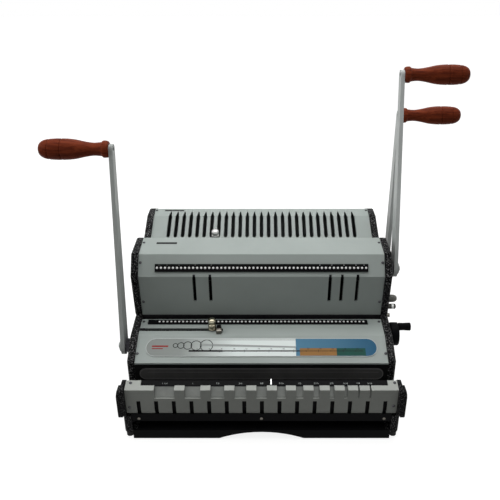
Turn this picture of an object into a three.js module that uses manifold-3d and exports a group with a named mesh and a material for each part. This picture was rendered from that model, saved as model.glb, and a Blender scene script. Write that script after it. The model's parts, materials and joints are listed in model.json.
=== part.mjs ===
// A manual coil binding machine for the desk: a wire closer in front, a lower punch under a sloping cover,
// an upper punch stacked on it and a slotted ring opener behind. Three long levers work three rack and pinion
// trains.
// Units are millimetres. X runs across the machine, Y from the front to the back, and Z up.
import * as THREE from 'three';
import { mergeVertices, mergeGeometries } from 'three/addons/utils/BufferGeometryUtils.js';
import Module from 'manifold-3d';

const wasm = await Module();
wasm.setup();

// Widths across the machine, and the clearances that several pieces share.
const coverWidth = 386;
const gap = 0.3;
const runningGap = 0.5;
const overrun = 4;
const lap = 1;
const sheet = 1.6;
const plateThickness = 11.7;
const left = -1;
const right = 1;
const half = coverWidth / 2;
const plateInner = half + gap;
const plateOuter = plateInner + plateThickness;

// Places along the side profile of the covers, from front to back.
const closerTop = {
  y: 0, bottom: 45, hem: 5, hemIn: 1.6, z: 88.5, run: 8.5, rise: 2.1, tabRun: 9, tabRise: 2.2,
};
const lowerLip = { y: 52, bottom: 46, z: 98, hem: 2.5 };
const lowerBend = { y: 93, z: 120 };
const lowerBack = { y: 131.5, z: 126, flange: 8 };
const upperFoot = { y: 137.5, z: 131, flange: 12 };
const upperNose = { y: 133, z: 203 };
const upperBend = { y: 152, z: 233 };
const upperBack = { y: 201, z: 239, flange: 12 };
const openerFront = { y: 219, z: 192 };
const openerBend = { run: 84, rise: 43 };
openerBend.y = openerFront.y + openerBend.run;
openerBend.z = openerFront.z + openerBend.rise;
const openerCrown = { run: 24, rise: 4 };
openerCrown.y = openerBend.y + openerCrown.run;
openerCrown.z = openerBend.z + openerCrown.rise;
const openerHeel = { run: 23, drop: 10 };
openerHeel.y = openerCrown.y + openerHeel.run;
openerHeel.z = openerCrown.z - openerHeel.drop;
const openerHem = { run: 4, drop: 23, z: 150 };
openerHem.y = openerHeel.y + openerHem.run;
openerHem.top = openerHeel.z - openerHem.drop;

// Side plates stand a little proud of the covers, and split where the upper punch is stacked on the lower.
const plate = {
  front: -1, stepZ: 41.5, splitZ: 129.5, proud: 3, round: 3.6, backCover: 3, archInset: 42, archRise: 3,
  valley: { y: 226, run: 22, z: 211 }, backDrop: 4, ledgeZ: 14.7, ledgeHeight: 2,
};
plate.back = openerHem.y + plate.backCover;
const foot = { width: 11, length: 30, height: 10.7, front: 17, backInset: 19 };
foot.back = plate.back - foot.backInset;
const plateBottom = foot.height + gap;
const railBar = { front: 0.2, depth: 1.8, bottom: 31 };
const floorSheet = { front: 29, z: 28, lip: 12, chuteFront: 150, chuteBack: 232, chuteInset: 33 };

// Chip drawer, hung by its rims on the ledges of the side plates.
const drawer = {
  front: -4, back: 240, bottom: 3, faceBottom: 1.5, top: 17, wall: 1.6, faceInset: 1.3, sideRoom: 7.7,
  bodyFront: 14, archWidth: 127, archHeight: 12,
};
drawer.faceHalf = plateInner - drawer.faceInset;
drawer.wallOuter = plateInner - drawer.sideRoom;

// Wire closer: the gauge cover, the anvil under it, its end caps and the trough that the wire hangs in.
const closer = {
  overhang: 6, anvilInset: 2.3, baseInset: 4.5, anvilBottom: 41.8, anvilBack: 18.4, seatZ: 70, rampZ: 74.5,
  rampTop: 9, troughFloor: 62, sheet: 2, stripLift: 1.5, stripEdge: 0.6, tabLeft: 22, tabRight: 14,
};

// End caps of the closer: an inner cheek that steps down over the trough, and a lower outer pad.
const cap = {
  front: -5, cheekBack: 21.5, back: 45, bottom: 42, top: 90.8, cheekThickness: 6.5, stepZ: 66, corner: 5,
  padThickness: 5.2, padBottom: 38, padTop: 85, padCorner: 8,
};

// Gauge notches for the wire sizes, by width, with equal lands between them, and the row of slots below.
const notch = {
  widths: [29.8, 23.3, 20.2, 17.3, 15.4, 13, 11, 9, 6.9, 5, 2.4, 2.4], land: 14.6, first: 42.4, depth: 14.8,
};
const slotRow = { count: 15, pitch: 25.85, shift: 0.6, width: 6, height: 23.5 };

// The moving pad of the closer, in its window in the front wall of the lower cover.
const pad = { inset: 5.5, height: 22, z: 78, clearance: 0.5, depth: 14, back: 4, bottom: 61, top: 95.5 };
const pointer = { x: 14, width: 1.6, thickness: 0.9, hook: 5 };

// Punches: one pin for each hole of the 4:1 pattern, in a guide that faces a die across the throat.
const pins = { pitch: 6.2865, count: 53, radius: 2.2, sides: 4, holeGap: 0.35 };
const throatWidth = 6;
const guide = { depth: 6.3, floor: 4 };
const die = { depth: 8 };
const lowerPunch = {
  pinZ: 108, guideBottom: 98, guideTop: 117.3, dieBottom: 96, dieTop: 130.4, barFront: 105, barDepth: 8,
  barHeight: 14, tip: 1.5, throatFront: lowerBack.y,
};
const upperPunch = {
  pinZ: 212, guideBottom: 202, guideTop: 226.7, dieBottom: 197, dieTop: 226, barFront: 154, barDepth: 8.5,
  barHeight: 14, tip: 1.5, throatFront: upperBack.y,
};

// Shafts of the three levers, with the racks that their pinions drive.
const teeth = {
  riseShare: 0.75, depthShare: 0.95, rootShare: 0.5, tipShare: 0.2, rackShare: 0.4, slopeShare: 0.42,
};
const closerDrive = {
  y: 97, z: 99.5, radius: 6.2, module: 1.6, count: 10, rackHeight: 2.8, face: 7, inset: 3,
};
const lowerDrive = { y: 320, z: 100, radius: 7, module: 1.5, count: 12, rackHeight: 7.5, face: 8 };
const upperDrive = { y: 185, z: 191, radius: 6, module: 1.5, count: 12, rackHeight: 6.5, face: 8, inset: 9 };
const rackSpacing = 3;
closerDrive.far = half - closerDrive.inset;
closerDrive.near = closerDrive.far - closerDrive.face;
lowerDrive.far = closerDrive.near - rackSpacing;
lowerDrive.near = lowerDrive.far - lowerDrive.face;
upperDrive.far = half - upperDrive.inset;
upperDrive.near = upperDrive.far - upperDrive.face;
const closerRack = { front: 93.5, back: 119, postDepth: 5.5, railHeight: 9 };
const lowerRack = { front: 300, back: 338 };
const upperRack = { back: 205 };

// Levers: flat tapered bars with a turned wooden grip, each leaning back at rest.
const arm = { length: 308, thickness: 6, hub: 14, tip: 7.5, stud: 3 };
const boss = { radius: 11 };
const bushing = { wall: 2.4, flange: 1.6, collar: 3.4, running: 0.15 };
const hubCap = { radius: 9.5, thickness: 3, button: 5, buttonHeight: 2.5 };
const closerLean = THREE.MathUtils.degToRad(10.4);
const upperLean = THREE.MathUtils.degToRad(15.6);
const lowerLean = THREE.MathUtils.degToRad(3.5);
const closerArmNear = 214;
const upperArmNear = 216;
const lowerArmNear = 234;
const grip = { length: 102, radius: 15.5, sides: 12 };
const gripAxialShares = [0, 0.02, 0.07, 0.12, 0.21, 0.33, 0.5, 0.64, 0.8, 0.91, 0.97, 1];
const gripRadialShares = [0.7, 0.77, 0.77, 0.66, 0.6, 0.72, 0.93, 1, 0.96, 0.8, 0.52, 0];

// Controls on the right side plate.
const crank = { y: 115, z: 109, radius: 18.5, near: 206, far: 218, spindle: 4, inner: 191.5 };
const peg = { offset: 13.6, radius: 6.15, far: 237, stud: 2.5, neckShare: 0.75 };
const depthKnob = { y: 162, z: 147, radius: 6.25, far: 223, spindle: 3, inner: 190 };
const selector = {
  y: 155, z: 136, radius: 4.3, far: 221, spindle: 2.3, inner: 190, armLength: 15, armDepth: 4, armShift: 5,
};
const stud = { y: 151, z: 121.5, radius: 3.4, far: 211, shank: 2.3 };

// Paper edge guides, which slide along each throat and are clamped by a thumb knob.
const edgeGuide = { left: -84, right: -64, thickness: 2.2, inset: 0.9 };
const lowerGuide = {
  front: 104, z: 118, thickness: 1.7, bottom: 110.5, knobX: -78, knobY: 107, slotLeft: -188, slotRight: -62,
  slotWidth: 5.2, tabLeft: -71, tabHalf: 1.4,
  shoeFront: 5, shoeBack: 3.5, shoeLift: 0.8, shoeHeight: 5.5,
};
const upperGuide = { inset: 2.4, bottom: 214.5, lip: 8, knobX: -76.5, knobY: 212 };
const knob = { radius: 6.25, height: 20, stem: 1.5, neck: 4.2, neckHeight: 4, bore: 10 };

// Strips that carry the pull pins on the covers, and the chart plate on the sloping face.
const strip = { thickness: 1.6, railHalf: 2, railRise: 0.4 };
const lowerStrip = { from: -182, to: 170, depth: 9.8, share: 0.79 };
const upperStrip = { from: -167, to: 167, depth: 12.4, share: 0.39 };
const chart = { inset: 14.5, depth: 31, thickness: 0.8, share: 0.56 };

// Slots of the two upper covers.
const coverSlot = { places: [-106, -80.8, 107.9, 126.6, 151], width: 4.1, bottom: 158, top: 206 };
const combSlot = { count: 27, pitch: 2 * pins.pitch, width: 5.6, front: 262, taper: 14, taperShare: 0.3 };

// Finishes.
const finish = (color, roughness, metalness = 0) => (
  new THREE.MeshStandardMaterial({ color, roughness, metalness })
);
const paleGrey = finish(0xa9b1ae, 0.45);
const blackCast = finish(0x1b1b1d, 0.7);
const blackSheet = finish(0x141416, 0.5);
const darkSteel = finish(0x3b3d3f, 0.4, 0.8);
const brightSteel = finish(0xb9bcbd, 0.3, 0.9);
const leverGrey = finish(0x8d9492, 0.45);
const redWood = finish(0x6a2413, 0.5);
const brass = finish(0x8c8058, 0.35, 0.9);
const olivePlastic = finish(0x5b5c48, 0.5);
const rubber = finish(0x111111, 0.9);
const chartInk = finish(0x5f86a6, 0.4);

const arcSteps = 6;
const roundSides = 16;
const fineSides = 24;
const archSides = 96;
const quarter = Math.PI / 2;

// Solids: three.js geometry in, joins and cuts between closed meshes, and geometry out again.
function solid(geometry) {
  const plain = geometry.index ? geometry.toNonIndexed() : geometry.clone();
  plain.deleteAttribute('normal');
  plain.deleteAttribute('uv');
  const merged = mergeVertices(plain);
  return new wasm.Manifold(new wasm.Mesh({
    numProp: 3,
    vertProperties: merged.attributes.position.array,
    triVerts: new Uint32Array(merged.index.array),
  }));
}

function geometryOf(body) {
  const made = body.getMesh();
  const geometry = new THREE.BufferGeometry();
  geometry.setAttribute('position', new THREE.BufferAttribute(made.vertProperties, 3));
  geometry.setIndex(new THREE.BufferAttribute(made.triVerts, 1));
  const flat = geometry.toNonIndexed();
  flat.computeVertexNormals();
  return flat;
}

const join = (...pieces) => geometryOf(pieces.map(solid).reduce((whole, piece) => whole.add(piece)));
const cut = (whole, ...tools) => (
  geometryOf(tools.map(solid).reduce((rest, tool) => rest.subtract(tool), solid(whole)))
);
const spread = (count, make) => mergeGeometries(Array.from({ length: count }, (_, i) => make(i)));
const rowPlace = (i, count, pitch) => (i - (count - 1) / 2) * pitch;
const across = (side, near, far) => (side > 0 ? [near, far] : [-far, -near]);

function block([fromX, toX], fromY, toY, fromZ, toZ) {
  const geometry = new THREE.BoxGeometry(toX - fromX, toY - fromY, toZ - fromZ);
  geometry.translate((fromX + toX) / 2, (fromY + toY) / 2, (fromZ + toZ) / 2);
  return geometry;
}

// Outlines drawn out along an axis: [y, z] along X, [x, z] along Y and [x, y] along Z.
function alongX(outline, [fromX, toX], steps = arcSteps) {
  const geometry = new THREE.ExtrudeGeometry(outline, {
    depth: toX - fromX, bevelEnabled: false, curveSegments: steps,
  });
  return geometry.rotateX(quarter).rotateZ(quarter).translate(fromX, 0, 0);
}

function alongY(outline, fromY, toY, steps = arcSteps) {
  const geometry = new THREE.ExtrudeGeometry(outline, {
    depth: toY - fromY, bevelEnabled: false, curveSegments: steps,
  });
  return geometry.rotateX(quarter).translate(0, toY, 0);
}

function alongZ(outline, fromZ, toZ, steps = arcSteps) {
  const geometry = new THREE.ExtrudeGeometry(outline, {
    depth: toZ - fromZ, bevelEnabled: false, curveSegments: steps,
  });
  return geometry.translate(0, 0, fromZ);
}

const outlineOf = (points) => new THREE.Shape(points.map(([u, v]) => new THREE.Vector2(u, v)));
const drawn = (points, span) => alongX(outlineOf(points), span);

function rodX(radius, [fromX, toX], y, z, sides = roundSides) {
  const geometry = new THREE.CylinderGeometry(radius, radius, toX - fromX, sides);
  return geometry.rotateZ(-quarter).translate((fromX + toX) / 2, y, z);
}

function rodY(radius, fromY, toY, x, z, sides = roundSides) {
  const geometry = new THREE.CylinderGeometry(radius, radius, toY - fromY, sides);
  return geometry.translate(x, (fromY + toY) / 2, z);
}

// A punch pin has a square section that stands upright.
function pinAlongY(radius, fromY, toY, x, z) {
  const geometry = new THREE.CylinderGeometry(radius, radius, toY - fromY, pins.sides);
  return geometry.rotateY(Math.PI / pins.sides).translate(x, (fromY + toY) / 2, z);
}

function rodZ(radius, fromZ, toZ, x, y, sides = roundSides) {
  const geometry = new THREE.CylinderGeometry(radius, radius, toZ - fromZ, sides);
  return geometry.rotateX(quarter).translate(x, y, (fromZ + toZ) / 2);
}

function obround(width, height, x = 0, y = 0) {
  const radius = height / 2;
  const reach = width / 2 - radius;
  const outline = new THREE.Shape();
  outline.absarc(x + reach, y, radius, -quarter, quarter, false);
  outline.absarc(x - reach, y, radius, quarter, 3 * quarter, false);
  outline.closePath();
  return outline;
}

function roundedBox(fromU, toU, fromV, toV, radius) {
  const outline = new THREE.Shape();
  outline.absarc(toU - radius, fromV + radius, radius, -quarter, 0, false);
  outline.absarc(toU - radius, toV - radius, radius, 0, quarter, false);
  outline.absarc(fromU + radius, toV - radius, radius, quarter, 2 * quarter, false);
  outline.absarc(fromU + radius, fromV + radius, radius, 2 * quarter, 3 * quarter, false);
  outline.closePath();
  return outline;
}

// The outline of a folded sheet: its outer face runs along the path, with its thickness to the right of it.
function folded(path, thickness) {
  const square = (a, b) => new THREE.Vector2(b[1] - a[1], a[0] - b[0]).normalize();
  const inner = path.map((point, i) => {
    const first = i > 0 ? square(path[i - 1], point) : square(point, path[i + 1]);
    const second = i < path.length - 1 ? square(point, path[i + 1]) : first;
    const mitre = first.clone().add(second).normalize();
    const reach = thickness / mitre.dot(first);
    return [point[0] + mitre.x * reach, point[1] + mitre.y * reach];
  });
  return [...path, ...inner.reverse()];
}

// A frame on a sloping face, part of the way along it: its Z points out of the face and its Y up the slope.
function faceFrame(from, to, share, lift = gap) {
  const slope = Math.atan2(to.z - from.z, to.y - from.y);
  const frame = new THREE.Group();
  const y = THREE.MathUtils.lerp(from.y, to.y, share) - Math.sin(slope) * lift;
  const z = THREE.MathUtils.lerp(from.z, to.z, share) + Math.cos(slope) * lift;
  frame.position.set(0, y, z);
  frame.rotation.x = slope;
  return frame;
}

function named(name, geometry, material) {
  const piece = new THREE.Mesh(geometry, material);
  piece.name = name;
  return piece;
}

// Teeth with straight flanks, for a pinion and for the rack that it drives.
function pinion(drive, span, turn) {
  const pitchRadius = drive.module * drive.count / 2;
  const tip = pitchRadius + teeth.riseShare * drive.module;
  const root = pitchRadius - teeth.depthShare * drive.module;
  const step = 2 * Math.PI / drive.count;
  const points = [];
  for (let i = 0; i < drive.count; i += 1) {
    const middle = turn + i * step;
    const corners = [
      [-teeth.rootShare, root], [-teeth.tipShare, tip], [teeth.tipShare, tip], [teeth.rootShare, root],
    ];
    for (const [share, radius] of corners) {
      const angle = middle + share * step / 2;
      points.push([drive.y + radius * Math.cos(angle), drive.z + radius * Math.sin(angle)]);
    }
  }
  return drawn(points, span);
}

function rack(drive, span, front, back, side) {
  const pitchZ = drive.z + side * drive.module * drive.count / 2;
  const rootZ = pitchZ + side * teeth.depthShare * drive.module;
  const tipZ = pitchZ - side * teeth.riseShare * drive.module;
  const backZ = rootZ + side * drive.rackHeight;
  const step = Math.PI * drive.module;
  const base = step * teeth.slopeShare / 2;
  const crest = step * teeth.slopeShare * teeth.rackShare / 2;
  const first = Math.ceil((front - drive.y + base) / step);
  const last = Math.floor((back - drive.y - base) / step);
  const points = [[back, rootZ], [back, backZ], [front, backZ], [front, rootZ]];
  for (let i = first; i <= last; i += 1) {
    const middle = drive.y + i * step;
    points.push([middle - base, rootZ], [middle - crest, tipZ]);
    points.push([middle + crest, tipZ], [middle + base, rootZ]);
  }
  return drawn(side > 0 ? points : points.reverse(), span);
}

const rackBackZ = (drive, side) => (
  drive.z + side * (drive.module * drive.count / 2 + teeth.depthShare * drive.module + drive.rackHeight)
);
const pitchTurn = (drive, side) => side * quarter + Math.PI / drive.count;

// Side plates, with holes for the shafts and the controls that pass through them.
function bearing(side, drive, radius = drive.radius + bushing.wall) {
  return rodX(radius + gap, across(side, plateInner - overrun, plateOuter + overrun), drive.y, drive.z);
}

function bush(side, drive) {
  const inner = plateInner - bushing.flange;
  const barrel = rodX(drive.radius + bushing.wall, across(side, inner, plateOuter), drive.y, drive.z);
  const collar = rodX(
    drive.radius + bushing.collar, across(side, inner, plateInner - gap), drive.y, drive.z,
  );
  const bore = rodX(
    drive.radius + bushing.running, across(side, inner - overrun, plateOuter + overrun), drive.y, drive.z,
  );
  return cut(join(barrel, collar), bore);
}

// A side plate's wall: square where it meets the covers, and rounded along the edge of its outer face.
function plateWall(outline, side) {
  const edge = plateOuter - plate.round;
  const rim = new THREE.ExtrudeGeometry(outline, {
    depth: lap, bevelSegments: 2,
    bevelThickness: plate.round, bevelSize: plate.round, bevelOffset: -plate.round,
  });
  rim.rotateX(quarter).rotateZ(quarter).translate(side > 0 ? edge - lap : -edge, 0, 0);
  return join(alongX(outline, across(side, plateInner, edge)), rim);
}

function lowerSidePlate(side) {
  const top = plate.splitZ;
  const outline = outlineOf([
    [plate.front, plateBottom], [plate.front + plate.archInset, plateBottom],
    [plate.front + plate.archInset + plate.archRise, plateBottom + plate.archRise],
    [plate.back - plate.archInset - plate.archRise, plateBottom + plate.archRise],
    [plate.back - plate.archInset, plateBottom], [plate.back, plateBottom], [plate.back, top],
    [lowerBack.y + plate.proud, top], [lowerBend.y - lap, lowerBend.z + plate.proud],
    [lowerLip.y + lap, lowerLip.z + plate.proud], [lowerLip.y, lowerLip.z + lap],
    [lowerLip.y, plate.stepZ], [plate.front, plate.stepZ],
  ]);
  const wall = plateWall(outline, side);
  const ledgeSpan = across(side, drawer.wallOuter + runningGap, plateInner + lap);
  const ledgeTop = plate.ledgeZ + plate.ledgeHeight;
  const ledge = block(ledgeSpan, plate.front, drawer.back, plate.ledgeZ, ledgeTop);
  const holes = [bearing(side, closerDrive), bearing(side, lowerDrive)];
  if (side === right) {
    holes.push(bearing(side, crank, crank.spindle), bearing(side, stud, stud.shank));
  }
  return cut(join(wall, ledge), ...holes);
}

function upperSidePlate(side) {
  const outline = outlineOf([
    [upperFoot.y - lap, plate.splitZ + gap], [plate.back, plate.splitZ + gap],
    [plate.back, openerHem.top], [openerHeel.y + plate.proud, openerHeel.z],
    [openerCrown.y + lap, openerCrown.z + gap], [openerBend.y - lap, openerBend.z + plate.proud],
    [plate.valley.y + plate.valley.run, plate.valley.z], [plate.valley.y, plate.valley.z],
    [upperBack.y + throatWidth, upperBack.z - plate.backDrop], [upperBack.y, upperBack.z + gap],
    [upperBend.y - lap, upperBend.z + plate.proud], [upperNose.y - plate.proud, upperNose.z + lap],
  ]);
  const wall = plateWall(outline, side);
  const holes = [bearing(side, upperDrive)];
  if (side === right) {
    holes.push(bearing(side, depthKnob, depthKnob.spindle), bearing(side, selector, selector.spindle));
  }
  return cut(wall, ...holes);
}

function footPad(x, y) {
  return alongZ(obround(foot.length, foot.width), 0, foot.height).rotateZ(quarter).translate(x, y, 0);
}

// Sheet metal between the side plates.
const betweenPlates = [-half, half];

function frontRail() {
  const back = railBar.front + railBar.depth;
  return block(betweenPlates, railBar.front, back, railBar.bottom, closerTop.bottom - gap);
}

function baseFloor() {
  const path = [
    [floorSheet.front, floorSheet.z + floorSheet.lip], [floorSheet.front, floorSheet.z],
    [openerHem.y - sheet - gap, floorSheet.z],
  ];
  const chute = block(
    [-half + floorSheet.chuteInset, half - floorSheet.chuteInset], floorSheet.chuteFront, floorSheet.chuteBack,
    floorSheet.z - overrun, floorSheet.z + overrun,
  );
  return cut(drawn(folded(path, sheet), betweenPlates), chute);
}

function lowerCover() {
  const path = [
    [lowerLip.y, lowerLip.z - lowerLip.hem], [lowerLip.y, lowerLip.z], [lowerBend.y, lowerBend.z],
    [lowerBack.y, lowerBack.z], [lowerBack.y, lowerBack.z - lowerBack.flange],
  ];
  const fingerSlot = block(
    [lowerGuide.slotLeft, lowerGuide.slotRight], lowerBack.y - overrun, lowerBack.y + overrun,
    lowerBack.z - lowerBack.flange - lap, lowerGuide.z + lowerGuide.thickness + runningGap,
  );
  const slot = alongZ(
    obround(
      lowerGuide.slotRight - lowerGuide.slotLeft, lowerGuide.slotWidth,
      (lowerGuide.slotLeft + lowerGuide.slotRight) / 2, lowerGuide.knobY,
    ),
    lowerBend.z - overrun, lowerBack.z + overrun,
  );
  return cut(drawn(folded(path, sheet), betweenPlates), slot, fingerSlot);
}

function troughWall() {
  const front = lowerLip.y;
  const wall = block(betweenPlates, front, front + sheet, lowerLip.bottom, lowerLip.z - lowerLip.hem - gap);
  const windowShape = obround(coverWidth - 2 * pad.inset, pad.height, 0, pad.z);
  return cut(wall, alongY(windowShape, front - overrun, front + overrun));
}

function upperCover() {
  const path = [
    [upperFoot.y + upperFoot.flange, upperFoot.z], [upperFoot.y, upperFoot.z], [upperNose.y, upperNose.z],
    [upperBend.y, upperBend.z], [upperBack.y, upperBack.z], [upperBack.y, upperBack.z - upperBack.flange],
  ];
  const slots = spread(coverSlot.places.length, (i) => {
    const span = [coverSlot.places[i] - coverSlot.width / 2, coverSlot.places[i] + coverSlot.width / 2];
    return block(span, upperNose.y - overrun, upperFoot.y + overrun, coverSlot.bottom, coverSlot.top);
  });
  return cut(drawn(folded(path, sheet), betweenPlates), slots);
}

function combSlotOutline(x) {
  const radius = combSlot.width / 2;
  const tip = radius * combSlot.taperShare;
  const outline = new THREE.Shape();
  outline.absarc(x, combSlot.front, radius, -2 * quarter, 0, false);
  outline.lineTo(x + radius, openerBend.y);
  outline.lineTo(x + tip, openerBend.y + combSlot.taper);
  outline.lineTo(x - tip, openerBend.y + combSlot.taper);
  outline.lineTo(x - radius, openerBend.y);
  outline.closePath();
  return outline;
}

function rearCover() {
  const path = [
    [openerFront.y, openerFront.z], [openerBend.y, openerBend.z], [openerCrown.y, openerCrown.z],
    [openerHeel.y, openerHeel.z], [openerHem.y, openerHem.top], [openerHem.y, openerHem.z],
  ];
  const slots = spread(combSlot.count, (i) => {
    const outline = combSlotOutline(rowPlace(i, combSlot.count, combSlot.pitch));
    return alongZ(outline, openerFront.z, openerCrown.z + overrun, arcSteps / 2);
  });
  return cut(drawn(folded(path, sheet), betweenPlates), slots);
}

function backPanel() {
  return block(betweenPlates, openerHem.y - sheet, openerHem.y, floorSheet.z - sheet, openerHem.z - gap);
}

// Chip drawer: a tray behind a face with an arched finger recess.
function chipDrawer() {
  const inner = drawer.wallOuter - drawer.wall;
  const outerSpan = [-drawer.wallOuter, drawer.wallOuter];
  const outside = block(outerSpan, drawer.bodyFront, drawer.back, drawer.bottom, drawer.top);
  const inside = block(
    [-inner, inner], drawer.bodyFront + drawer.wall, drawer.back - drawer.wall,
    drawer.bottom + drawer.wall, drawer.top + overrun,
  );
  const rimReach = plateInner - drawer.wall;
  const rim = (side) => block(
    across(side, inner, rimReach), drawer.bodyFront, drawer.back, drawer.top, drawer.top + drawer.wall,
  );
  const faceSpan = [-drawer.faceHalf, drawer.faceHalf];
  const face = block(faceSpan, drawer.front, drawer.front + drawer.wall, drawer.faceBottom, drawer.top);
  const brimBack = drawer.bodyFront + drawer.wall;
  const brim = block(outerSpan, drawer.front, brimBack, drawer.top - drawer.wall, drawer.top);
  const archHalf = drawer.archWidth / 2;
  const archRadius = (archHalf ** 2 + drawer.archHeight ** 2) / (2 * drawer.archHeight);
  const circle = rodY(
    archRadius, drawer.front - overrun, drawer.front + drawer.wall + lap, 0,
    drawer.faceBottom + drawer.archHeight - archRadius, archSides,
  );
  return cut(join(cut(outside, inside), rim(left), rim(right), brim, face), circle);
}

// Wire closer.
const closerHalf = half + closer.overhang;
const closerSpan = [-closerHalf, closerHalf];
const closerSlope = closerTop.rise / closerTop.run;

function closerCover() {
  const crown = [closerTop.y + closerTop.run, closerTop.z + closerTop.rise];
  const tabEnd = [crown[0] + closerTop.tabRun, crown[1] + closerTop.tabRise];
  const path = [
    [closerTop.y + closerTop.hemIn, closerTop.bottom], [closerTop.y, closerTop.bottom + closerTop.hem],
    [closerTop.y, closerTop.z], crown, tabEnd,
  ];
  const blank = drawn(folded(path, closer.sheet), closerSpan);
  const seat = block(
    [-closerHalf + closer.tabLeft, closerHalf - closer.tabRight], crown[0], tabEnd[0] + overrun,
    closerTop.z - overrun, tabEnd[1] + overrun,
  );
  const slots = spread(slotRow.count, (i) => {
    const x = slotRow.shift + rowPlace(i, slotRow.count, slotRow.pitch);
    const span = [x - slotRow.width / 2, x + slotRow.width / 2];
    return block(span, -overrun, overrun, closerTop.bottom - overrun, closerTop.bottom + slotRow.height);
  });
  let place = notch.first - closerHalf;
  const notches = notch.widths.map((width) => {
    const span = [place, place + width];
    place += width + notch.land;
    return block(span, -overrun, tabEnd[0], closerTop.z - notch.depth, tabEnd[1] + overrun);
  });
  return cut(blank, seat, slots, mergeGeometries(notches));
}

// The top of the anvil follows the underside of the gauge cover, and the size strip lies on it, between the
// tabs.
const anvilTop = (y) => closerTop.z + closerSlope * (y - closerTop.y) - closer.sheet - 2 * gap;

const anvilFront = closerTop.y + closer.anvilInset;

function closerBase() {
  const front = closerTop.y + closer.baseInset;
  const back = lowerLip.y - gap;
  const points = [
    [front, closer.anvilBottom], [back, closer.anvilBottom], [back, closer.troughFloor],
    [closer.anvilBack, closer.troughFloor], [closer.anvilBack, closer.seatZ - gap],
    [front, closer.seatZ - gap],
  ];
  return drawn(points, closerSpan);
}

// The anvil shows behind the notches as a ramp that leans back to its top.
function closerAnvil() {
  const points = [
    [anvilFront, closer.seatZ], [closer.anvilBack, closer.seatZ],
    [closer.anvilBack, anvilTop(closer.anvilBack)], [closer.rampTop, anvilTop(closer.rampTop)],
    [anvilFront, closer.rampZ],
  ];
  return drawn(points, closerSpan);
}

const stripFront = closerTop.y + closerTop.run + closer.stripEdge;
const stripSpan = [
  -closerHalf + closer.tabLeft + closer.stripEdge, closerHalf - closer.tabRight - closer.stripEdge,
];

function sizeStrip() {
  const low = gap;
  const high = gap + closer.stripLift;
  const points = [
    [stripFront, anvilTop(stripFront) + low], [closer.anvilBack, anvilTop(closer.anvilBack) + low],
    [closer.anvilBack, anvilTop(closer.anvilBack) + high], [stripFront, anvilTop(stripFront) + high],
  ];
  return drawn(points, stripSpan);
}

function sizePointer() {
  const lift = closer.stripLift + 2 * gap;
  const front = stripFront + closer.stripEdge;
  const back = closer.anvilBack + gap + pointer.thickness;
  const path = [
    [front, anvilTop(front) + lift + pointer.thickness],
    [back, anvilTop(back) + lift + pointer.thickness],
    [back, anvilTop(back) - pointer.hook],
  ];
  const span = [pointer.x - pointer.width / 2, pointer.x + pointer.width / 2];
  return drawn(folded(path, pointer.thickness), span);
}

function closerEndCap(side) {
  const inner = closerHalf + gap;
  const outer = inner + cap.cheekThickness;
  const cheek = new THREE.Shape();
  cheek.moveTo(cap.front + cap.corner, cap.bottom);
  cheek.lineTo(cap.back, cap.bottom);
  cheek.lineTo(cap.back, cap.stepZ);
  cheek.lineTo(cap.cheekBack, cap.stepZ);
  cheek.lineTo(cap.cheekBack, cap.top);
  cheek.absarc(cap.front + cap.corner, cap.top - cap.corner, cap.corner, quarter, 2 * quarter, false);
  cheek.absarc(cap.front + cap.corner, cap.bottom + cap.corner, cap.corner, 2 * quarter, 3 * quarter, false);
  const padShape = roundedBox(cap.front, cap.cheekBack, cap.padBottom, cap.padTop, cap.padCorner);
  return join(
    alongX(cheek, across(side, inner, outer)),
    alongX(padShape, across(side, outer - runningGap, outer + cap.padThickness)),
  );
}

// The closing bar: the pad in its window, a stiff back and two open plates that hold the racks over the
// pinions.
function closingBar() {
  const front = lowerLip.y - pad.clearance;
  const width = coverWidth - 2 * pad.inset - 2 * pad.clearance;
  const backFront = front + pad.depth;
  const face = alongY(obround(width, pad.height - 2 * pad.clearance, 0, pad.z), front, backFront + lap);
  const reach = closerDrive.far;
  const back = block([-reach, reach], backFront, backFront + pad.back, pad.bottom, pad.top);
  const top = rackBackZ(closerDrive, 1);
  const cheek = (side) => {
    const span = across(side, closerDrive.near, closerDrive.far);
    const rail = block(span, backFront, closerRack.back, pad.bottom, pad.bottom + closerRack.railHeight);
    const postFront = closerRack.back - lap;
    const post = block(span, postFront, postFront + closerRack.postDepth, pad.bottom, top);
    return join(rail, post, rack(closerDrive, span, closerRack.front, closerRack.back, 1));
  };
  return join(face, back, cheek(left), cheek(right));
}

// Punch bars, guides and dies.
const pinHoles = (fromY, toY, z) => spread(pins.count, (i) => (
  pinAlongY(pins.radius + pins.holeGap, fromY, toY, rowPlace(i, pins.count, pins.pitch), z)
));

function punchGuide(unit) {
  const throat = unit.throatFront;
  const front = throat - guide.depth;
  const points = [
    [front, unit.guideBottom], [throat + throatWidth - gap, unit.guideBottom],
    [throat + throatWidth - gap, unit.guideBottom + guide.floor], [throat, unit.guideBottom + guide.floor],
    [throat, unit.guideTop], [front, unit.guideTop],
  ];
  const slotHalf = pins.radius * Math.SQRT1_2 + pins.holeGap;
  const row = pins.pitch * pins.count / 2;
  const slot = block([-row, row], front - overrun, throat + lap, unit.pinZ - slotHalf, unit.pinZ + slotHalf);
  return cut(drawn(points, betweenPlates), slot);
}

function diePlate(unit) {
  const front = unit.throatFront + throatWidth;
  const body = block(betweenPlates, front, front + die.depth, unit.dieBottom, unit.dieTop);
  return cut(body, pinHoles(front - overrun, front + die.depth + overrun, unit.pinZ));
}

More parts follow.
